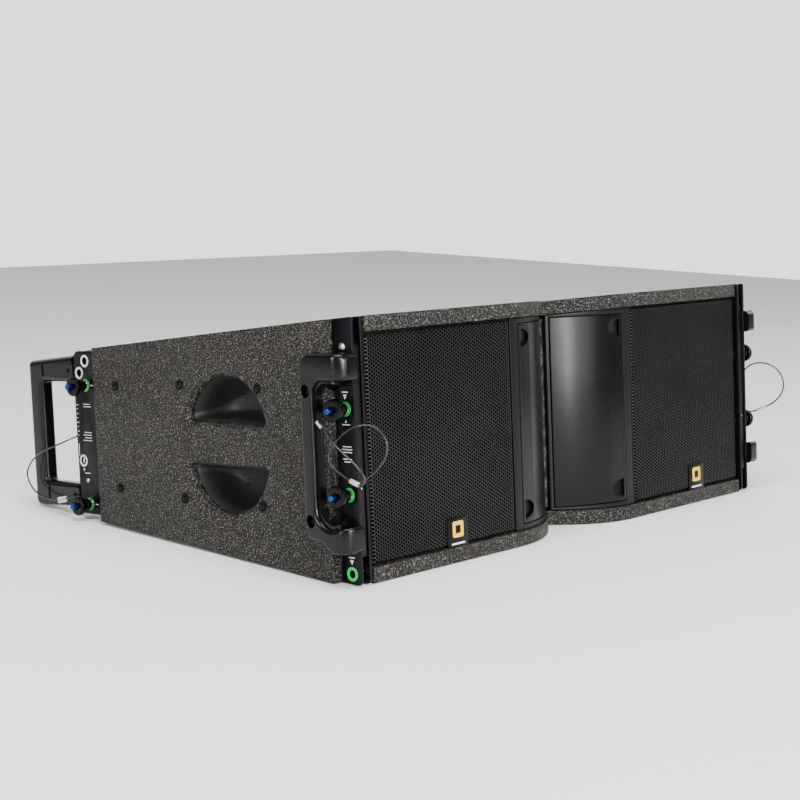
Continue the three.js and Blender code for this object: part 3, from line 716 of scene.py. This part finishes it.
def cabinet_shell():
    """The plywood box with its lobed front edge, in one painted piece."""
    lobes = lobe_line(LOBE_START, 0)
    other = [(-x, y) for x, y in reversed(lobes[:-1])]
    right = [(RIM_HALF_WIDTH, 0), (RIM_HALF_WIDTH, SIDE_FRONT), (HALF_WIDTH, SIDE_FRONT)]
    right.append((HALF_WIDTH, CABINET_DEPTH))
    left = [(-x, y) for x, y in reversed(right)]
    plan = [left[-1], *lobes, *other, *right, *left[:-1]]
    outer = boolean("INTERSECT", prism(plan, "z", -200, 200), wedge(0, 500))
    void = wedge(PLY, HALF_WIDTH - PLY, far=CABINET_DEPTH - PLY)
    moons = [pocket_mouth(up) for up in (1, -1)]
    moons += [mirrored(moon) for moon in moons]
    rear_hole = box((-72, 72), (340, 400), (-42, 42))
    hollow = boolean("DIFFERENCE", outer, void, rear_hole, *moons)
    panels = ["panel_top", "panel_bottom", "panel_side_left", "panel_side_right", "panel_rear"]
    finish_piece("cabinet_shell", bevelled(hollow, 3.0, 4, angle=38.0), PAINT, panels)


def pocket_cups():
    """Two moulded half-moon cups behind each side panel."""
    cups = []
    wall, mouth, depth = 2.2, 8.0, 42.0
    for up in (1, -1):
        outer, inner = [], []
        for k in range(9):
            a = math.radians(10.5 * k)
            inset, flat = 0.3 + 20 * (1 - math.cos(a)), 0.3 + 7 * (1 - math.cos(a))
            x = mouth + depth * math.sin(a) - HALF_WIDTH
            corner = 5.0 + 5.5 * (1 - math.cos(a))
            outer.append((half_moon(inset, up, corner, flat), x))
            gap, shift = (wall, wall) if k else (0.4, 0.0)
            inner.append((half_moon(inset + gap, up, corner, flat + gap), x - shift))
        for sections in (outer, inner):
            last, x = sections[-1]
            for f in (0.8, 0.6, 0.4, 0.2, 0.0):
                sections.append((shrunk(last, f), x + 1.2 * (1 - f * f)))
        cups.append(loft([*reversed(outer), *inner], "x"))
    back = PLY - HALF_WIDTH
    outline = rectangle(104, -74, 244, 74, 8)
    holes = [prism(half_moon(1.4, up), "x", back - 5, back + 10) for up in (1, -1)]
    flange = boolean("DIFFERENCE", prism(outline, "x", back + 0.4, back + 3.4), *holes)
    cups.append(flange)
    pair("hand_pockets_{}", joined(*cups), POCKET_PLASTIC, ["pocket_cups_{}"])


def screw_head(centre, axis, radius=3.6, height=1.6):
    """A domed screw head with a cross cut into it."""
    profile = [(0, height), (radius * 0.35, height * 0.97), (radius * 0.7, height * 0.78)]
    profile += [(radius * 0.93, height * 0.42), (radius, 0.0), (radius, -1.0), (0, -1.0)]
    head = lathe(profile, (0, 0, 0), (0, 0, 1), 24)
    arm = radius * 0.5
    long, short, deep = (-arm, arm), (-0.4, 0.4), (height * 0.25, height * 2)
    slots = [box(long, short, deep), box(short, long, deep)]
    return stood(boolean("DIFFERENCE", head, *slots), centre, axis)


def side_screws():
    """Black screws in cup washers round each pair of pockets."""
    heads = []
    washer = [(3.5, -0.5), (5.2, -0.5), (5.2, 0.5), (4.6, 1.1), (3.9, 0.9), (3.5, 0.2)]
    for y, z in ((334, 53.5), (231, 57.5), (116.5, 57)):
        for up in (1, -1):
            heads.append(screw_head((-HALF_WIDTH - 0.5, y, up * z), (-1, 0, 0), 3.4, 1.3))
            heads.append(lathe(washer, (-HALF_WIDTH, y, up * z), (-1, 0, 0), 28))
    pair("side_screws_{}", joined(*heads), PIN_BLACK)


cabinet_shell()
pocket_cups()
side_screws()


# ---------- grilles ----------
def cell_faces(hole_sides):
    """Triangles between a hexagon and a hole inside it, as pairs of loops joined by angle."""
    hexagon = [(60 * k, ("h", k)) for k in range(6)]
    hole = [(360 * k / hole_sides, ("o", k)) for k in range(hole_sides)]
    faces, i, j = [], 0, 0
    while i < 6 or j < hole_sides:
        next_hex = hexagon[(i + 1) % 6][0] + 360 * ((i + 1) // 6)
        next_hole = hole[(j + 1) % hole_sides][0] + 360 * ((j + 1) // hole_sides)
        if j >= hole_sides or (i < 6 and next_hex <= next_hole):
            faces.append((("h", i % 6), ("h", (i + 1) % 6), ("o", j % hole_sides)))
            i += 1
        else:
            faces.append((("o", j % hole_sides), ("h", i % 6), ("o", (j + 1) % hole_sides)))
            j += 1
    return faces


def perforated_sheet(x_range, z_range, front, thickness, pitch, hole, fold):
    """A thin sheet of close round holes in staggered columns, folded back round its edges."""
    sides = 9
    template = cell_faces(sides)
    corner = pitch / math.sqrt(3)
    step = pitch * math.sqrt(3) / 2
    columns = int((x_range[1] - x_range[0] - corner) / step)
    rows = int((z_range[1] - z_range[0]) / pitch)
    x_start = (x_range[0] + x_range[1] - (columns - 1) * step) / 2
    z_start = (z_range[0] + z_range[1] - (rows - 0.5) * pitch) / 2
    verts, faces, shared = [], [], {}

    def vertex(x, y, z, key=None):
        if key is not None and key in shared:
            return shared[key]
        gap = min(x - x_range[0], x_range[1] - x, z - z_range[0], z_range[1] - z)
        depth = max(0.0, fold - max(0.0, gap))
        verts.append((x, y + fold - math.sqrt(fold**2 - depth**2), z))
        if key is not None:
            shared[key] = len(verts) - 1
        return len(verts) - 1

    for column in range(columns):
        x = x_start + column * step
        for row in range(rows):
            z = z_start + (row + (0.5 if column % 2 else 0.0)) * pitch
            loops = {}
            for layer, y in ((0, front), (1, front + thickness)):
                for kind, radius, count in (("h", corner, 6), ("o", hole, sides)):
                    for k, (u, v) in enumerate(circle(x, z, radius, count)):
                        key = (layer, round(u * 20), round(v * 20)) if kind == "h" else None
                        loops[layer, kind, k] = vertex(u, y, v, key)
            for face in template:
                faces.append([loops[0, kind, k] for kind, k in face])
                faces.append([loops[1, kind, k] for kind, k in reversed(face)])
            for k in range(sides):
                j = (k + 1) % sides
                corners = ((0, k), (0, j), (1, j), (1, k))
                faces.append([loops[layer, "o", corner] for layer, corner in corners])
    mesh = bpy.data.meshes.new("perforated")
    mesh.from_pydata(verts, [], faces)
    bm = as_bmesh(mesh)
    edges = [edge for edge in bm.edges if edge.is_boundary]
    rim = bmesh.ops.extrude_edge_only(bm, edges=edges)["geom"]
    moved = [v for v in rim if isinstance(v, bmesh.types.BMVert)]
    bmesh.ops.translate(bm, verts=moved, vec=(0, 1.2, 0))
    return as_mesh(bm)


def grilles():
    """A perforated sheet, the border folded behind it, and black cloth, on each side."""
    inner, outer, top, front = (GRILLE[k] for k in ("inner", "outer", "top", "front"))
    pitch, hole = GRILLE["pitch"], GRILLE["hole"]
    sheet = perforated_sheet((-outer, -inner), (-top, top), front, 0.8, pitch, hole, fold=5.5)
    pair("grille_sheet_{}", sheet, GRILLE_PAINT, ["grille_{}"], smooth=25)
    rim = rounded([(-outer, -top, 2), (-inner, -top, 1), (-inner, top, 1), (-outer, top, 2)], steps=4)
    opening = rectangle(2 - outer, 2 - top, -2 - inner, top - 2, 1, steps=3)
    border = plate(rim, [opening], "y", front + 4.0, front + 10, bevel=0.4)
    pair("grille_border_{}", border, GRILLE_PAINT)
    cloth = box((-outer + 2.3, -inner - 2.3), (front + 6.2, front + 8.2), (2.3 - top, top - 2.3))
    pair("grille_cloth_{}", cloth, CLOTH)


def badges():
    """A small plain plate low on each grille, with a yellow square above a pale bar."""
    z = -97.0
    for side, x in (("left", -199.0), ("right", 228.5)):
        back = plate(rectangle(x - 15, z - 17, x + 15, z + 17, 2), [], "y", 0.6, 2.1, bevel=0.4)
        finish_piece("badge_plate_" + side, back, PIN_BLACK)
        window = rectangle(x - 4, z + 1, x + 4, z + 9, 1)
        square = rectangle(x - 8, z - 3, x + 8, z + 13, 2)
        square = plate(square, [window], "y", 0.25, 0.9, bevel=0.15)
        finish_piece("badge_square_" + side, square, YELLOW)
        bar = plate(rectangle(x - 10, z - 10, x + 10, z - 8.2, 0.7), [], "y", 0.3, 0.9, bevel=0.15)
        finish_piece("badge_bar_" + side, bar, WHITE)


grilles()
badges()


# ---------- woofers behind the grilles ----------
def woofers():
    """A cone with its surround, and the cast frame and magnet behind it, on each side."""
    centre, front = (WOOFER["x"], 0, 0), WOOFER["front"]
    cone = [(0, 20), (10, 21), (20, 25), (26, 30.5), (27, 30), (45, 18), (69, 2), (71, 0.6)]
    angles = [math.pi * k / 10 for k in range(1, 10)]
    surround = [(71 + 4.2 * (1 - math.cos(a)), front + 1 - 5.5 * math.sin(a)) for a in angles]
    rim = [(80.5, 0.5), (86, 0.5), (86, 3), (70, 5), (27, 36), (0, 36)]
    basket = [(0, 52), (46, 52), (86.5, 8), (86.5, -4), (102, -4), (102, 0)]
    basket += [(91, 0), (89, 12), (50, 58), (58, 58), (58, 88), (0, 88)]
    cone, rim, basket = ([(r, front + y) for r, y in part] for part in (cone, rim, basket))
    cone = lathe(cone + surround + rim, centre, (0, 1, 0), 72)
    replaced = ["woofer_cone_{}"]
    pair("woofer_cone_and_surround_{}", cone, CONE_PAPER, replaced, smooth=40)
    basket = lathe(basket, centre, (0, 1, 0), 72)
    pair("woofer_frame_{}", basket, CAST, ["woofer_basket_{}"])


woofers()


# ---------- horn ----------
def horn_flares():
    """The fixed black frames that the fins lie in."""
    front = lobe_line(5.0, 104.8, 3.0)
    back = lobe_line(100.8, 5.0, 12.0)
    plan = [*front, (-104.8, 39.0), (-100.8, 39.0), *back]
    body = boolean("INTERSECT", prism(plan, "z", -124, 124), wedge(15.4, 500))
    recess = [*lobe_line(8.0, 92.3, -6.0), *lobe_line(92.3, 8.0, 7.2)]
    body = boolean("DIFFERENCE", body, prism(recess, "z", -103.8, 103.8))
    body = bevelled(body, 0.7, 3, angle=40)
    pair("horn_flare_frame_{}", body, BLACK_PLASTIC, ["horn_flare_{}"])


def horn_fins():
    """Curved plates with a half-round finger scoop at each outer corner."""
    x, y, radius = -HINGE["x"], lobe_y(HINGE["x"]) + HINGE["depth"], HINGE["radius"]
    angles = [math.radians(125 - 180 * k / 10) for k in range(11)]
    bead = [(x + radius * math.cos(a), y + radius * math.sin(a)) for a in angles]
    plan = [
        *bead[::-1],
        *lobe_line(HINGE["x"] + 0.8, FIN["outer"], FIN["back"]),
        *lobe_line(FIN["outer"], HINGE["x"] + 0.8, FIN["front"]),
    ]
    panel = prism(plan, "z", -FIN["half_height"], FIN["half_height"])
    scoops = []
    for up in (1, -1):
        arc = [math.radians(7.5 * k - 90) for k in range(25)]
        outline = [(-88 + 18 * math.cos(a), up * 88.5 + 9.5 * math.sin(a)) for a in arc]
        scoops.append(prism(outline, "y", -12, 40))
    panel = bevelled(boolean("DIFFERENCE", panel, *scoops), 0.7, 3, angle=40)
    body = "horn_fin_{}"
    pair("horn_fin_panel_{}", panel, FIN_PLASTIC, [body], body)


def throat():
    """The gauze in the slot, with an uneven surface."""
    bm = bmesh.new()
    columns, rows = 8, 180
    grid = []
    for r in range(rows + 1):
        z = -102 + 204 * r / rows
        line = []
        for c in range(columns + 1):
            x = -4.8 + 9.6 * c / columns
            swell = 0.5 * math.sin(z * 0.31 + x) + 0.35 * math.sin(z * 0.83 - 2 * x)
            y = 46.9 - 0.7 * math.cos(x / 4.8 * 1.4) + 0.4 * swell
            line.append(bm.verts.new((x, y, z)))
        grid.append(line)
    for r in range(rows):
        for c in range(columns):
            bm.faces.new((grid[r][c], grid[r][c + 1], grid[r + 1][c + 1], grid[r + 1][c]))
    skirt = bmesh.ops.extrude_face_region(bm, geom=bm.faces[:])
    moved = [v for v in skirt["geom"] if isinstance(v, bmesh.types.BMVert)]
    bmesh.ops.translate(bm, verts=moved, vec=(0, 2.0, 0))
    finish_piece("throat_gauze", cleaned(bm), GAUZE, ["throat_screen"])


horn_flares()
horn_fins()
throat()


# ---------- rigging ----------
def ring(y, z, outer=6.85, inner=3.9, proud=0.8):
    """A thin washer on the outer cheek, round a pin hole."""
    profile = [(inner, -0.4), (outer, -0.4), (outer, proud - 0.3), (outer - 0.4, proud)]
    profile += [(inner + 0.4, proud), (inner, proud - 0.3)]
    return lathe(profile, (-CHEEK_X, y, z), (-1, 0, 0), 40)


def arrow(y, z, up, size=2.2):
    outline = [(y - size, z + up * size), (y + size, z + up * size), (y, z - up * size)]
    return prism(outline, "x", -CHEEK_X - 0.2, -CHEEK_X + 0.2)


def mark(y, z, width, height):
    """A thin printed bar, in place of a line of words."""
    wide, high = (y - width / 2, y + width / 2), (z - height / 2, z + height / 2)
    return box((-CHEEK_X - 0.15, -CHEEK_X + 0.2), wide, high)


def rig_channel(place_name, side_view, spots, web):
    """The two steel cheeks and the web of one rigging channel, on each side."""
    holes = [circle(y, z, PIN_HOLE_RADIUS) for y, z in spots]
    cheeks = [plate(side_view, holes, "x", *xs, bevel=0.7) for xs in (OUTER_CHEEK, INNER_CHEEK)]
    replaced = [place_name + "_channel_{}"]
    steel = joined(*cheeks, web)
    pair(place_name + "_rig_channel_{}", steel, RIG_PAINT, replaced)


def rig_finish(place_name, rings, bushes, prints, screw):
    """The enamelled rings, plated bushes, printed marks and screw on one outer cheek."""
    pair(place_name + "_green_rings_{}", joined(*rings), GREEN)
    bushes = [ring(y, z, 4.9, 4.05, proud=1.0) for y, z in bushes]
    pair(place_name + "_bushes_{}", joined(*bushes), SILVER)
    pair(place_name + "_prints_{}", joined(*prints), WHITE)
    pair(place_name + "_cheek_screw_{}", screw, SILVER)


def front_channels():
    back = SIDE_FRONT - 0.3
    corners = [(-1, 0.1 - top_z(0), 5), (back, -top_z(back)), (back, top_z(back))]
    side_view = rounded([*corners, (-1, top_z(0) - 0.1, 2.5)])
    pins = [(FRONT_PIN_Y, FRONT_PIN_Z), (FRONT_PIN_Y, -FRONT_PIN_Z)]
    spots = [*pins, (FRONT_PIN_Y, LOW_HOLE_Z)]
    rig_channel("front", side_view, spots, box((-337, -326), (back - 3, back - 0.2), (-122, 122)))
    prints = []
    for z in (FRONT_PIN_Z, LOW_HOLE_Z):
        prints.append(arrow(FRONT_PIN_Y, z + 11.0, 1))
        prints.append(mark(FRONT_PIN_Y, z + 15.5, 7.5, 1.0))
    prints.append(arrow(FRONT_PIN_Y, FRONT_PIN_Z - 11.5, -1, 1.2))
    prints.append(mark(FRONT_PIN_Y, FRONT_PIN_Z - 14.6, 10, 0.8))
    for top, widths in ((5.0, (11, 13, 12)), (-6.5, (11, 8))):
        for k, width in enumerate(widths):
            prints.append(mark(FRONT_PIN_Y, top - 2.6 * k, width, 0.8))
    screw = screw_head((-CHEEK_X, 12, 97), (-1, 0, 0), 4.2, 1.8)
    rig_finish("front", [ring(y, z) for y, z in spots], pins, prints, screw)


def rear_channels():
    start, end, half = CABINET_DEPTH + 0.3, 419.5, 88.2
    side_view = rounded([(start, -half), (end, -half, 6), (end, half, 10), (start, half)], steps=8)
    pins = [REAR_UPPER_PIN, REAR_LOWER_PIN]
    plain = [(398.5, 77.5), (409.0, 64.5), (409.5, -30.5)]
    web = box((-337, -326), (start + 0.1, start + 3), (-87, 87))
    rig_channel("rear", side_view, [*pins, *plain], web)
    whites = [ring(y, z, 6.6, 4.4) for y, z in plain]
    pair("rear_white_rings_{}", joined(*whites), WHITE)
    prints = [mark(416.2, -19.0, 0.8, 14)]
    for k in range(4):
        prints.append(mark(415.6, 30.0 - 9.5 * k, 3.4, 0.8))
        prints.append(mark(416.2, 25.5 - 9.5 * k, 2.0, 0.6))
    for k, width in enumerate((11, 13)):
        prints.append(mark(399 - width / 2 + 6, 31.0 - 2.6 * k, width, 0.7))
    for k, width in enumerate((12, 14, 12, 15)):
        prints.append(mark(393 + width / 2, 0.5 - 2.9 * k, width, 0.7))
    prints.append(arrow(409.5, -40.5, 1, 1.6))
    prints.append(mark(404.0, -43.8, 9, 0.8))
    prints.append(mark(390.5, -77.0, 4.5, 0.9))
    prints.append(mark(388.5, 51.5, 4.5, 0.9))
    screw = screw_head((-CHEEK_X, 404, -51.5), (-1, 0, 0), 2.6, 1.2)
    rig_finish("rear", [ring(y, z) for y, z in pins], pins, prints, screw)


def slot(y, low, high):
    """The outline of a long hole in a link bar."""
    return rectangle(y - PIN_HOLE_RADIUS, low, y + PIN_HOLE_RADIUS, high, 4.2)


def link_bar(place_name, outline, holes):
    """A steel bar that rises between the cheeks, on each side."""
    bar = plate(outline, holes, "x", *LINK_BAR, bevel=1.1, resolution=3)
    body = place_name + "_link_bar_{}"
    pair(place_name + "_link_steel_{}", bar, LINK_STEEL, [body], body)


def link_bars():
    outline = rounded([(0.6, -99, 3), (19.5, -99, 3), (19.5, 102, 6), (0.6, 102, 6)])
    slots = [slot(FRONT_PIN_Y, -9.25, 44.25), slot(FRONT_PIN_Y, -89.25, -35.75)]
    link_bar("front", outline, [*slots, circle(FRONT_PIN_Y, 91, PIN_HOLE_RADIUS)])
    head = screw_head((-331.8, 0.8, -34), (0, -1, 0), 1.1, 0.5)
    pair("front_link_screw_{}", head, SILVER, body="front_link_bar_{}")
    outline = rounded([(388, -62, 5), (414, -62, 5), (414, 77, 9), (388, 77, 9)])
    y, z = REAR_UPPER_PIN
    slots = [slot(y, z - 36 - PIN_HOLE_RADIUS, z + PIN_HOLE_RADIUS)]
    link_bar("rear", outline, [*slots, circle(y, 66.5, PIN_HOLE_RADIUS)])


PIN_SPOTS = {
    "front_upper": (FRONT_PIN_Y, FRONT_PIN_Z),
    "front_lower": (FRONT_PIN_Y, -FRONT_PIN_Z),
    "rear_upper": REAR_UPPER_PIN,
    "rear_lower": REAR_LOWER_PIN,
}


# Profiles of (radius, distance out from the cheek, and the corner's own radius).
SHANK = [(0, -17.5), (4, -17.5, 1.2), (4, 2.4), (0, 2.4)]
HEAD = [(0, 1.8), (4.7, 1.8, 0.4), (5.0, 3.4, 0.5), (6.3, 4.6, 0.5), (6.3, 7.4, 0.2), (5.8, 7.9, 0.2)]
HEAD += [(6.3, 8.4, 0.2), (6.3, 12.2, 0.8), (9.6, 13.0, 0.6), (10.5, 14.2, 0.9), (10.5, 17.8, 1.0)]
HEAD += [(9.2, 19.0, 0.8), (4.6, 19.0, 0.4), (3.6, 17.6, 0.3), (3.2, 17.6), (3.2, 9.7), (0, 9.7)]
BUTTON = [(0, 12.5), (2.9, 12.5), (2.9, 25.4, 0.7), (0.9, 25.4, 0.2), (0.7, 24.9), (0, 24.9)]


def lock_pins():
    """Ball-lock pins: a plated shank, a black neck and head, and a blue button."""
    angles = [math.pi * k / 8 for k in range(9)]
    ball = [(1.3 * math.sin(a), -1.3 * math.cos(a)) for a in angles]
    for where, (y, z) in PIN_SPOTS.items():
        centre, out = (-CHEEK_X, y, z), (-1, 0, 0)
        pin, push = "pin_" + where + "_{}", "button_" + where + "_{}"
        shank = lathe(soft_profile(SHANK), centre, out, 32)
        balls = [lathe(ball, (-CHEEK_X + 14.6, y, z + s * 3.3), (0, 0, 1), 12) for s in (1, -1)]
        pair("pin_shank_" + where + "_{}", joined(shank, *balls), SILVER, body=pin)
        head = lathe(soft_profile(HEAD, 3), centre, out, 48)
        pair("pin_head_" + where + "_{}", head, PIN_BLACK, [pin], pin)
        button = lathe(soft_profile(BUTTON, 3), centre, out, 32)
        pair("blue_button_" + where + "_{}", button, BLUE, [push], push)


front_channels()
rear_channels()
link_bars()
lock_pins()


# ---------- handles ----------
def handle_moulding(where, shape):
    """Finishes a pair of handles. Only their sharpest edges stay sharp."""
    replaced = [where + "_handle_{}"]
    pair(where + "_handle_moulding_{}", shape, HANDLE_PLASTIC, replaced, smooth=40)


def front_handles():
    """C-shaped handles whose opening is dished down towards the rigging."""
    side_view = rounded(
        [(-7, -92.5, 7), (13, -93, 9), (27, -82.5, 10), (47, -80.5, 12), (47, 93, 13), (-7, 92, 7)],
        steps=8,
    )
    plan = rounded([(-332, -7), (-332, 47), (-HANDLE_X, 47), (-HANDLE_X, -7, 15)], steps=10)
    seat = [(-339.3, -20), (-339.3, 23.4), (-350.3, 23.4), (-350.3, 60), (-380, 60), (-380, -20)]
    seat = prism(seat, "z", -120, 120)

    def opening(shrink):
        low, high, rear = shrink * 0.7, 66.5 - shrink * 0.5, 31.5 - shrink * 0.4
        return rounded(
            [(-30, low - 60.5, 0.01), (rear, low - 73.5, 19), (rear, high, 13), (-30, high, 0.01)],
            steps=8,
        )

    block = boolean("INTERSECT", prism(side_view, "x", -380, -320), prism(plan, "z", -110, 110))
    block = boolean("DIFFERENCE", block, prism(opening(-1), "x", -390, -310))
    block = boolean("INTERSECT", bevelled(block, 4.2, 6, angle=40, clamp=False), seat)
    depths = [(3.2, 372), (3.2, 357.7), (3.9, 356.2), (4.3, 354), (6, 351), (8, 348), (10, 345)]
    depths += [(11, 343), (11.5, 340), (11.5, 330)]
    dish = loft([(opening(shrink), -x) for shrink, x in depths], "x")
    inner_plan = rounded([(-330, 9), (-330, 46), (-359, 46), (-359, 9, 9)], steps=10)
    lining = prism(opening(-0.6), "x", -358.4, -330)
    lining = boolean("INTERSECT", lining, prism(inner_plan, "z", -110, 110), seat)
    lining = boolean("DIFFERENCE", lining, dish)
    well = [(0, 5.5), (5.4, 5.5), (5.6, 0.9), (6.4, -0.1), (6.4, -5), (0, -5)]
    wells = [lathe(well, (-HANDLE_X, 39, z), (1, 0, 0), 32) for z in (57.5, -63.6)]
    shape = joined(boolean("DIFFERENCE", block, *wells), lining)
    handle_moulding("front", shape)
    heads = [screw_head((5.5 - HANDLE_X, 39, z), (-1, 0, 0), 4.3, 2.4) for z in (57.5, -63.6)]
    pair("front_handle_screws_{}", joined(*heads), PIN_BLACK)


def rear_handles():
    """Loop handles with a rounded grip and shallow panels on both arms."""
    start, end = 419.8, REAR_HANDLE_END
    inside = start - 4
    outside = [(inside, -81.3), (end, -85, 7), (end, top_z(end) - 5, 6), (inside, top_z(inside) - 5)]
    window = [(inside, 54), (477, 54, 5), (477, -56, 5), (inside, -56)]
    loop = plate(rounded(outside + window, steps=8), [], "x", -341, -323, bevel=6.0, resolution=9)
    panels = []
    for low, high in ((-76.5, -61.5), (60, 73.5)):
        panel = rounded([(start - 9, low), (474, low, 2), (474, high, 2), (start - 9, high)])
        panels.append(prism(panel, "x", -345, -339.9))
    in_channel = box((-350, -310), (inside - 5, start), (-100, 100))
    handle_moulding("rear", boolean("DIFFERENCE", loop, *panels, in_channel))
    heads = [screw_head((-340.0, 428, z), (-1, 0, 0), 2.6, 1.1) for z in (66.5, -69)]
    pair("rear_handle_screws_{}", joined(*heads), PIN_BLACK)


front_handles()
rear_handles()


# ---------- connector plate at the back ----------
def connector_plate():
    """A steel plate with two round sockets, each with a pair of printed lines."""
    back = CABINET_DEPTH + 0.3
    holes = [circle(x, 0, 12.6) for x in (-34, 34)]
    face = plate(rectangle(-84, -54, 84, 54, 6), holes, "y", back, back + 2.5)
    finish_piece("connector_panel", face, RIG_PAINT, ["connector_plate"])
    spots = [(x, back + 2.4, z) for x in (-76, 76, 0) for z in (-46, 46)]
    heads = [screw_head(spot, (0, 1, 0)) for spot in spots]
    finish_piece("connector_panel_screws", joined(*heads), PIN_BLACK)
    top = back + 2.8
    barrel = [(0, top - 26), (12, top - 26), (12, top), (15.3, top, 0.5), (15.3, top + 2, 0.8)]
    barrel += [(9.9, top + 2, 0.6), (9.5, top + 1, 0.2), (9.5, top - 16), (0, top - 16)]
    post = [(0, top - 16.5), (4.6, top - 16.5), (4.6, top - 1.5, 0.8), (0, top - 1.5)]
    for side, x in (("left", -34), ("right", 34)):
        parts = [lathe(soft_profile(barrel, 3), (x, 0, 0), (0, 1, 0), 48)]
        parts.append(lathe(soft_profile(post), (x, 0, 0), (0, 1, 0), 32))
        for low, high in ((x - 9.4, x - 7.4), (x + 7.4, x + 9.4)):
            parts.append(box((low, high), (top - 15, top), (-1.4, 1.4)))
        name, replaced = "speaker_socket_" + side, ["connector_" + side]
        finish_piece(name, joined(*parts), BLACK_PLASTIC, replaced)
    lines = []
    for x in (-34, 34):
        for z in (-24, 24):
            line = rectangle(x - 14, z - 0.6, x + 14, z + 0.6, 0.4)
            lines.append(plate(line, [], "y", back + 2.4, back + 2.65, bevel=0.05))
    finish_piece("connector_prints", joined(*lines), WHITE)


connector_plate()


# ---------- CAD pieces that stay as they are ----------
def dress(name, material):
    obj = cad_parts[name]
    obj.data.materials.clear()
    obj.data.materials.append(material)


for side in ("left", "right"):
    dress("baffle_" + side, RUBBER)
dress("waveguide", BLACK_PLASTIC)
dress("compression_driver", CAST)


# ---------- studio ----------
def studio():
    """A pale floor that the object stands on, a white room and soft lights."""
    tilt = math.atan2(HALF_HEIGHT - REAR_HANDLE_FOOT, REAR_HANDLE_END - 4)
    floor_mesh = bpy.data.meshes.new("floor")
    corners = [(FLOOR_HALF_SIZE * u, FLOOR_HALF_SIZE * v, 0) for u, v in rectangle(-1, -1, 1, 1, 0)]
    floor_mesh.from_pydata(corners, [], [(0, 1, 2, 3)])
    floor = in_scene("floor", floor_mesh)
    lift = Matrix.Translation((0, -CENTRE_Y / 1000, -0.0006))
    floor.matrix_world = lift @ Matrix.Rotation(tilt, 4, "X")
    material, tree, shader, coords = surface("studio_floor", specular=0.2)
    stops = [(0.3, (0.86, 0.86, 0.86)), (0.7, (0.9, 0.9, 0.9))]
    coloured(tree, shader, noise(tree, coords, 2.0), "Fac", stops)
    shader.inputs["Roughness"].default_value = 0.7
    floor_mesh.materials.append(material)

    world = bpy.data.worlds.new("studio")
    world.use_nodes = True
    tree = world.node_tree
    background = tree.nodes["Background"]
    background.inputs["Color"].default_value = (1, 1, 1, 1)
    directions = tree.nodes.new("ShaderNodeTexCoord")
    ahead = tree.nodes.new("ShaderNodeVectorMath")
    ahead.operation = "DOT_PRODUCT"
    ahead.inputs[1].default_value = (0.735, 0.678, 0.0)
    link(directions, "Generated", ahead, 0)
    glow = node(tree, "ShaderNodeMapRange", From_Min=0.25, From_Max=0.8, To_Min=0.25, To_Max=2.0)
    glow.interpolation_type = "SMOOTHSTEP"
    link(ahead, "Value", glow, "Value")
    link(glow, "Result", background, "Strength")
    bpy.context.scene.world = world

    for name, spot, aim, width, height, power in SOFTBOXES:
        data = bpy.data.lights.new(name, "AREA")
        data.shape = "RECTANGLE"
        data.size = width
        data.size_y = height
        data.energy = power
        light = in_scene(name, data)
        light.location = spot
        light.rotation_euler = (Vector(aim) - Vector(spot)).to_track_quat("-Z", "Y").to_euler()
        light.visible_camera = False


studio()
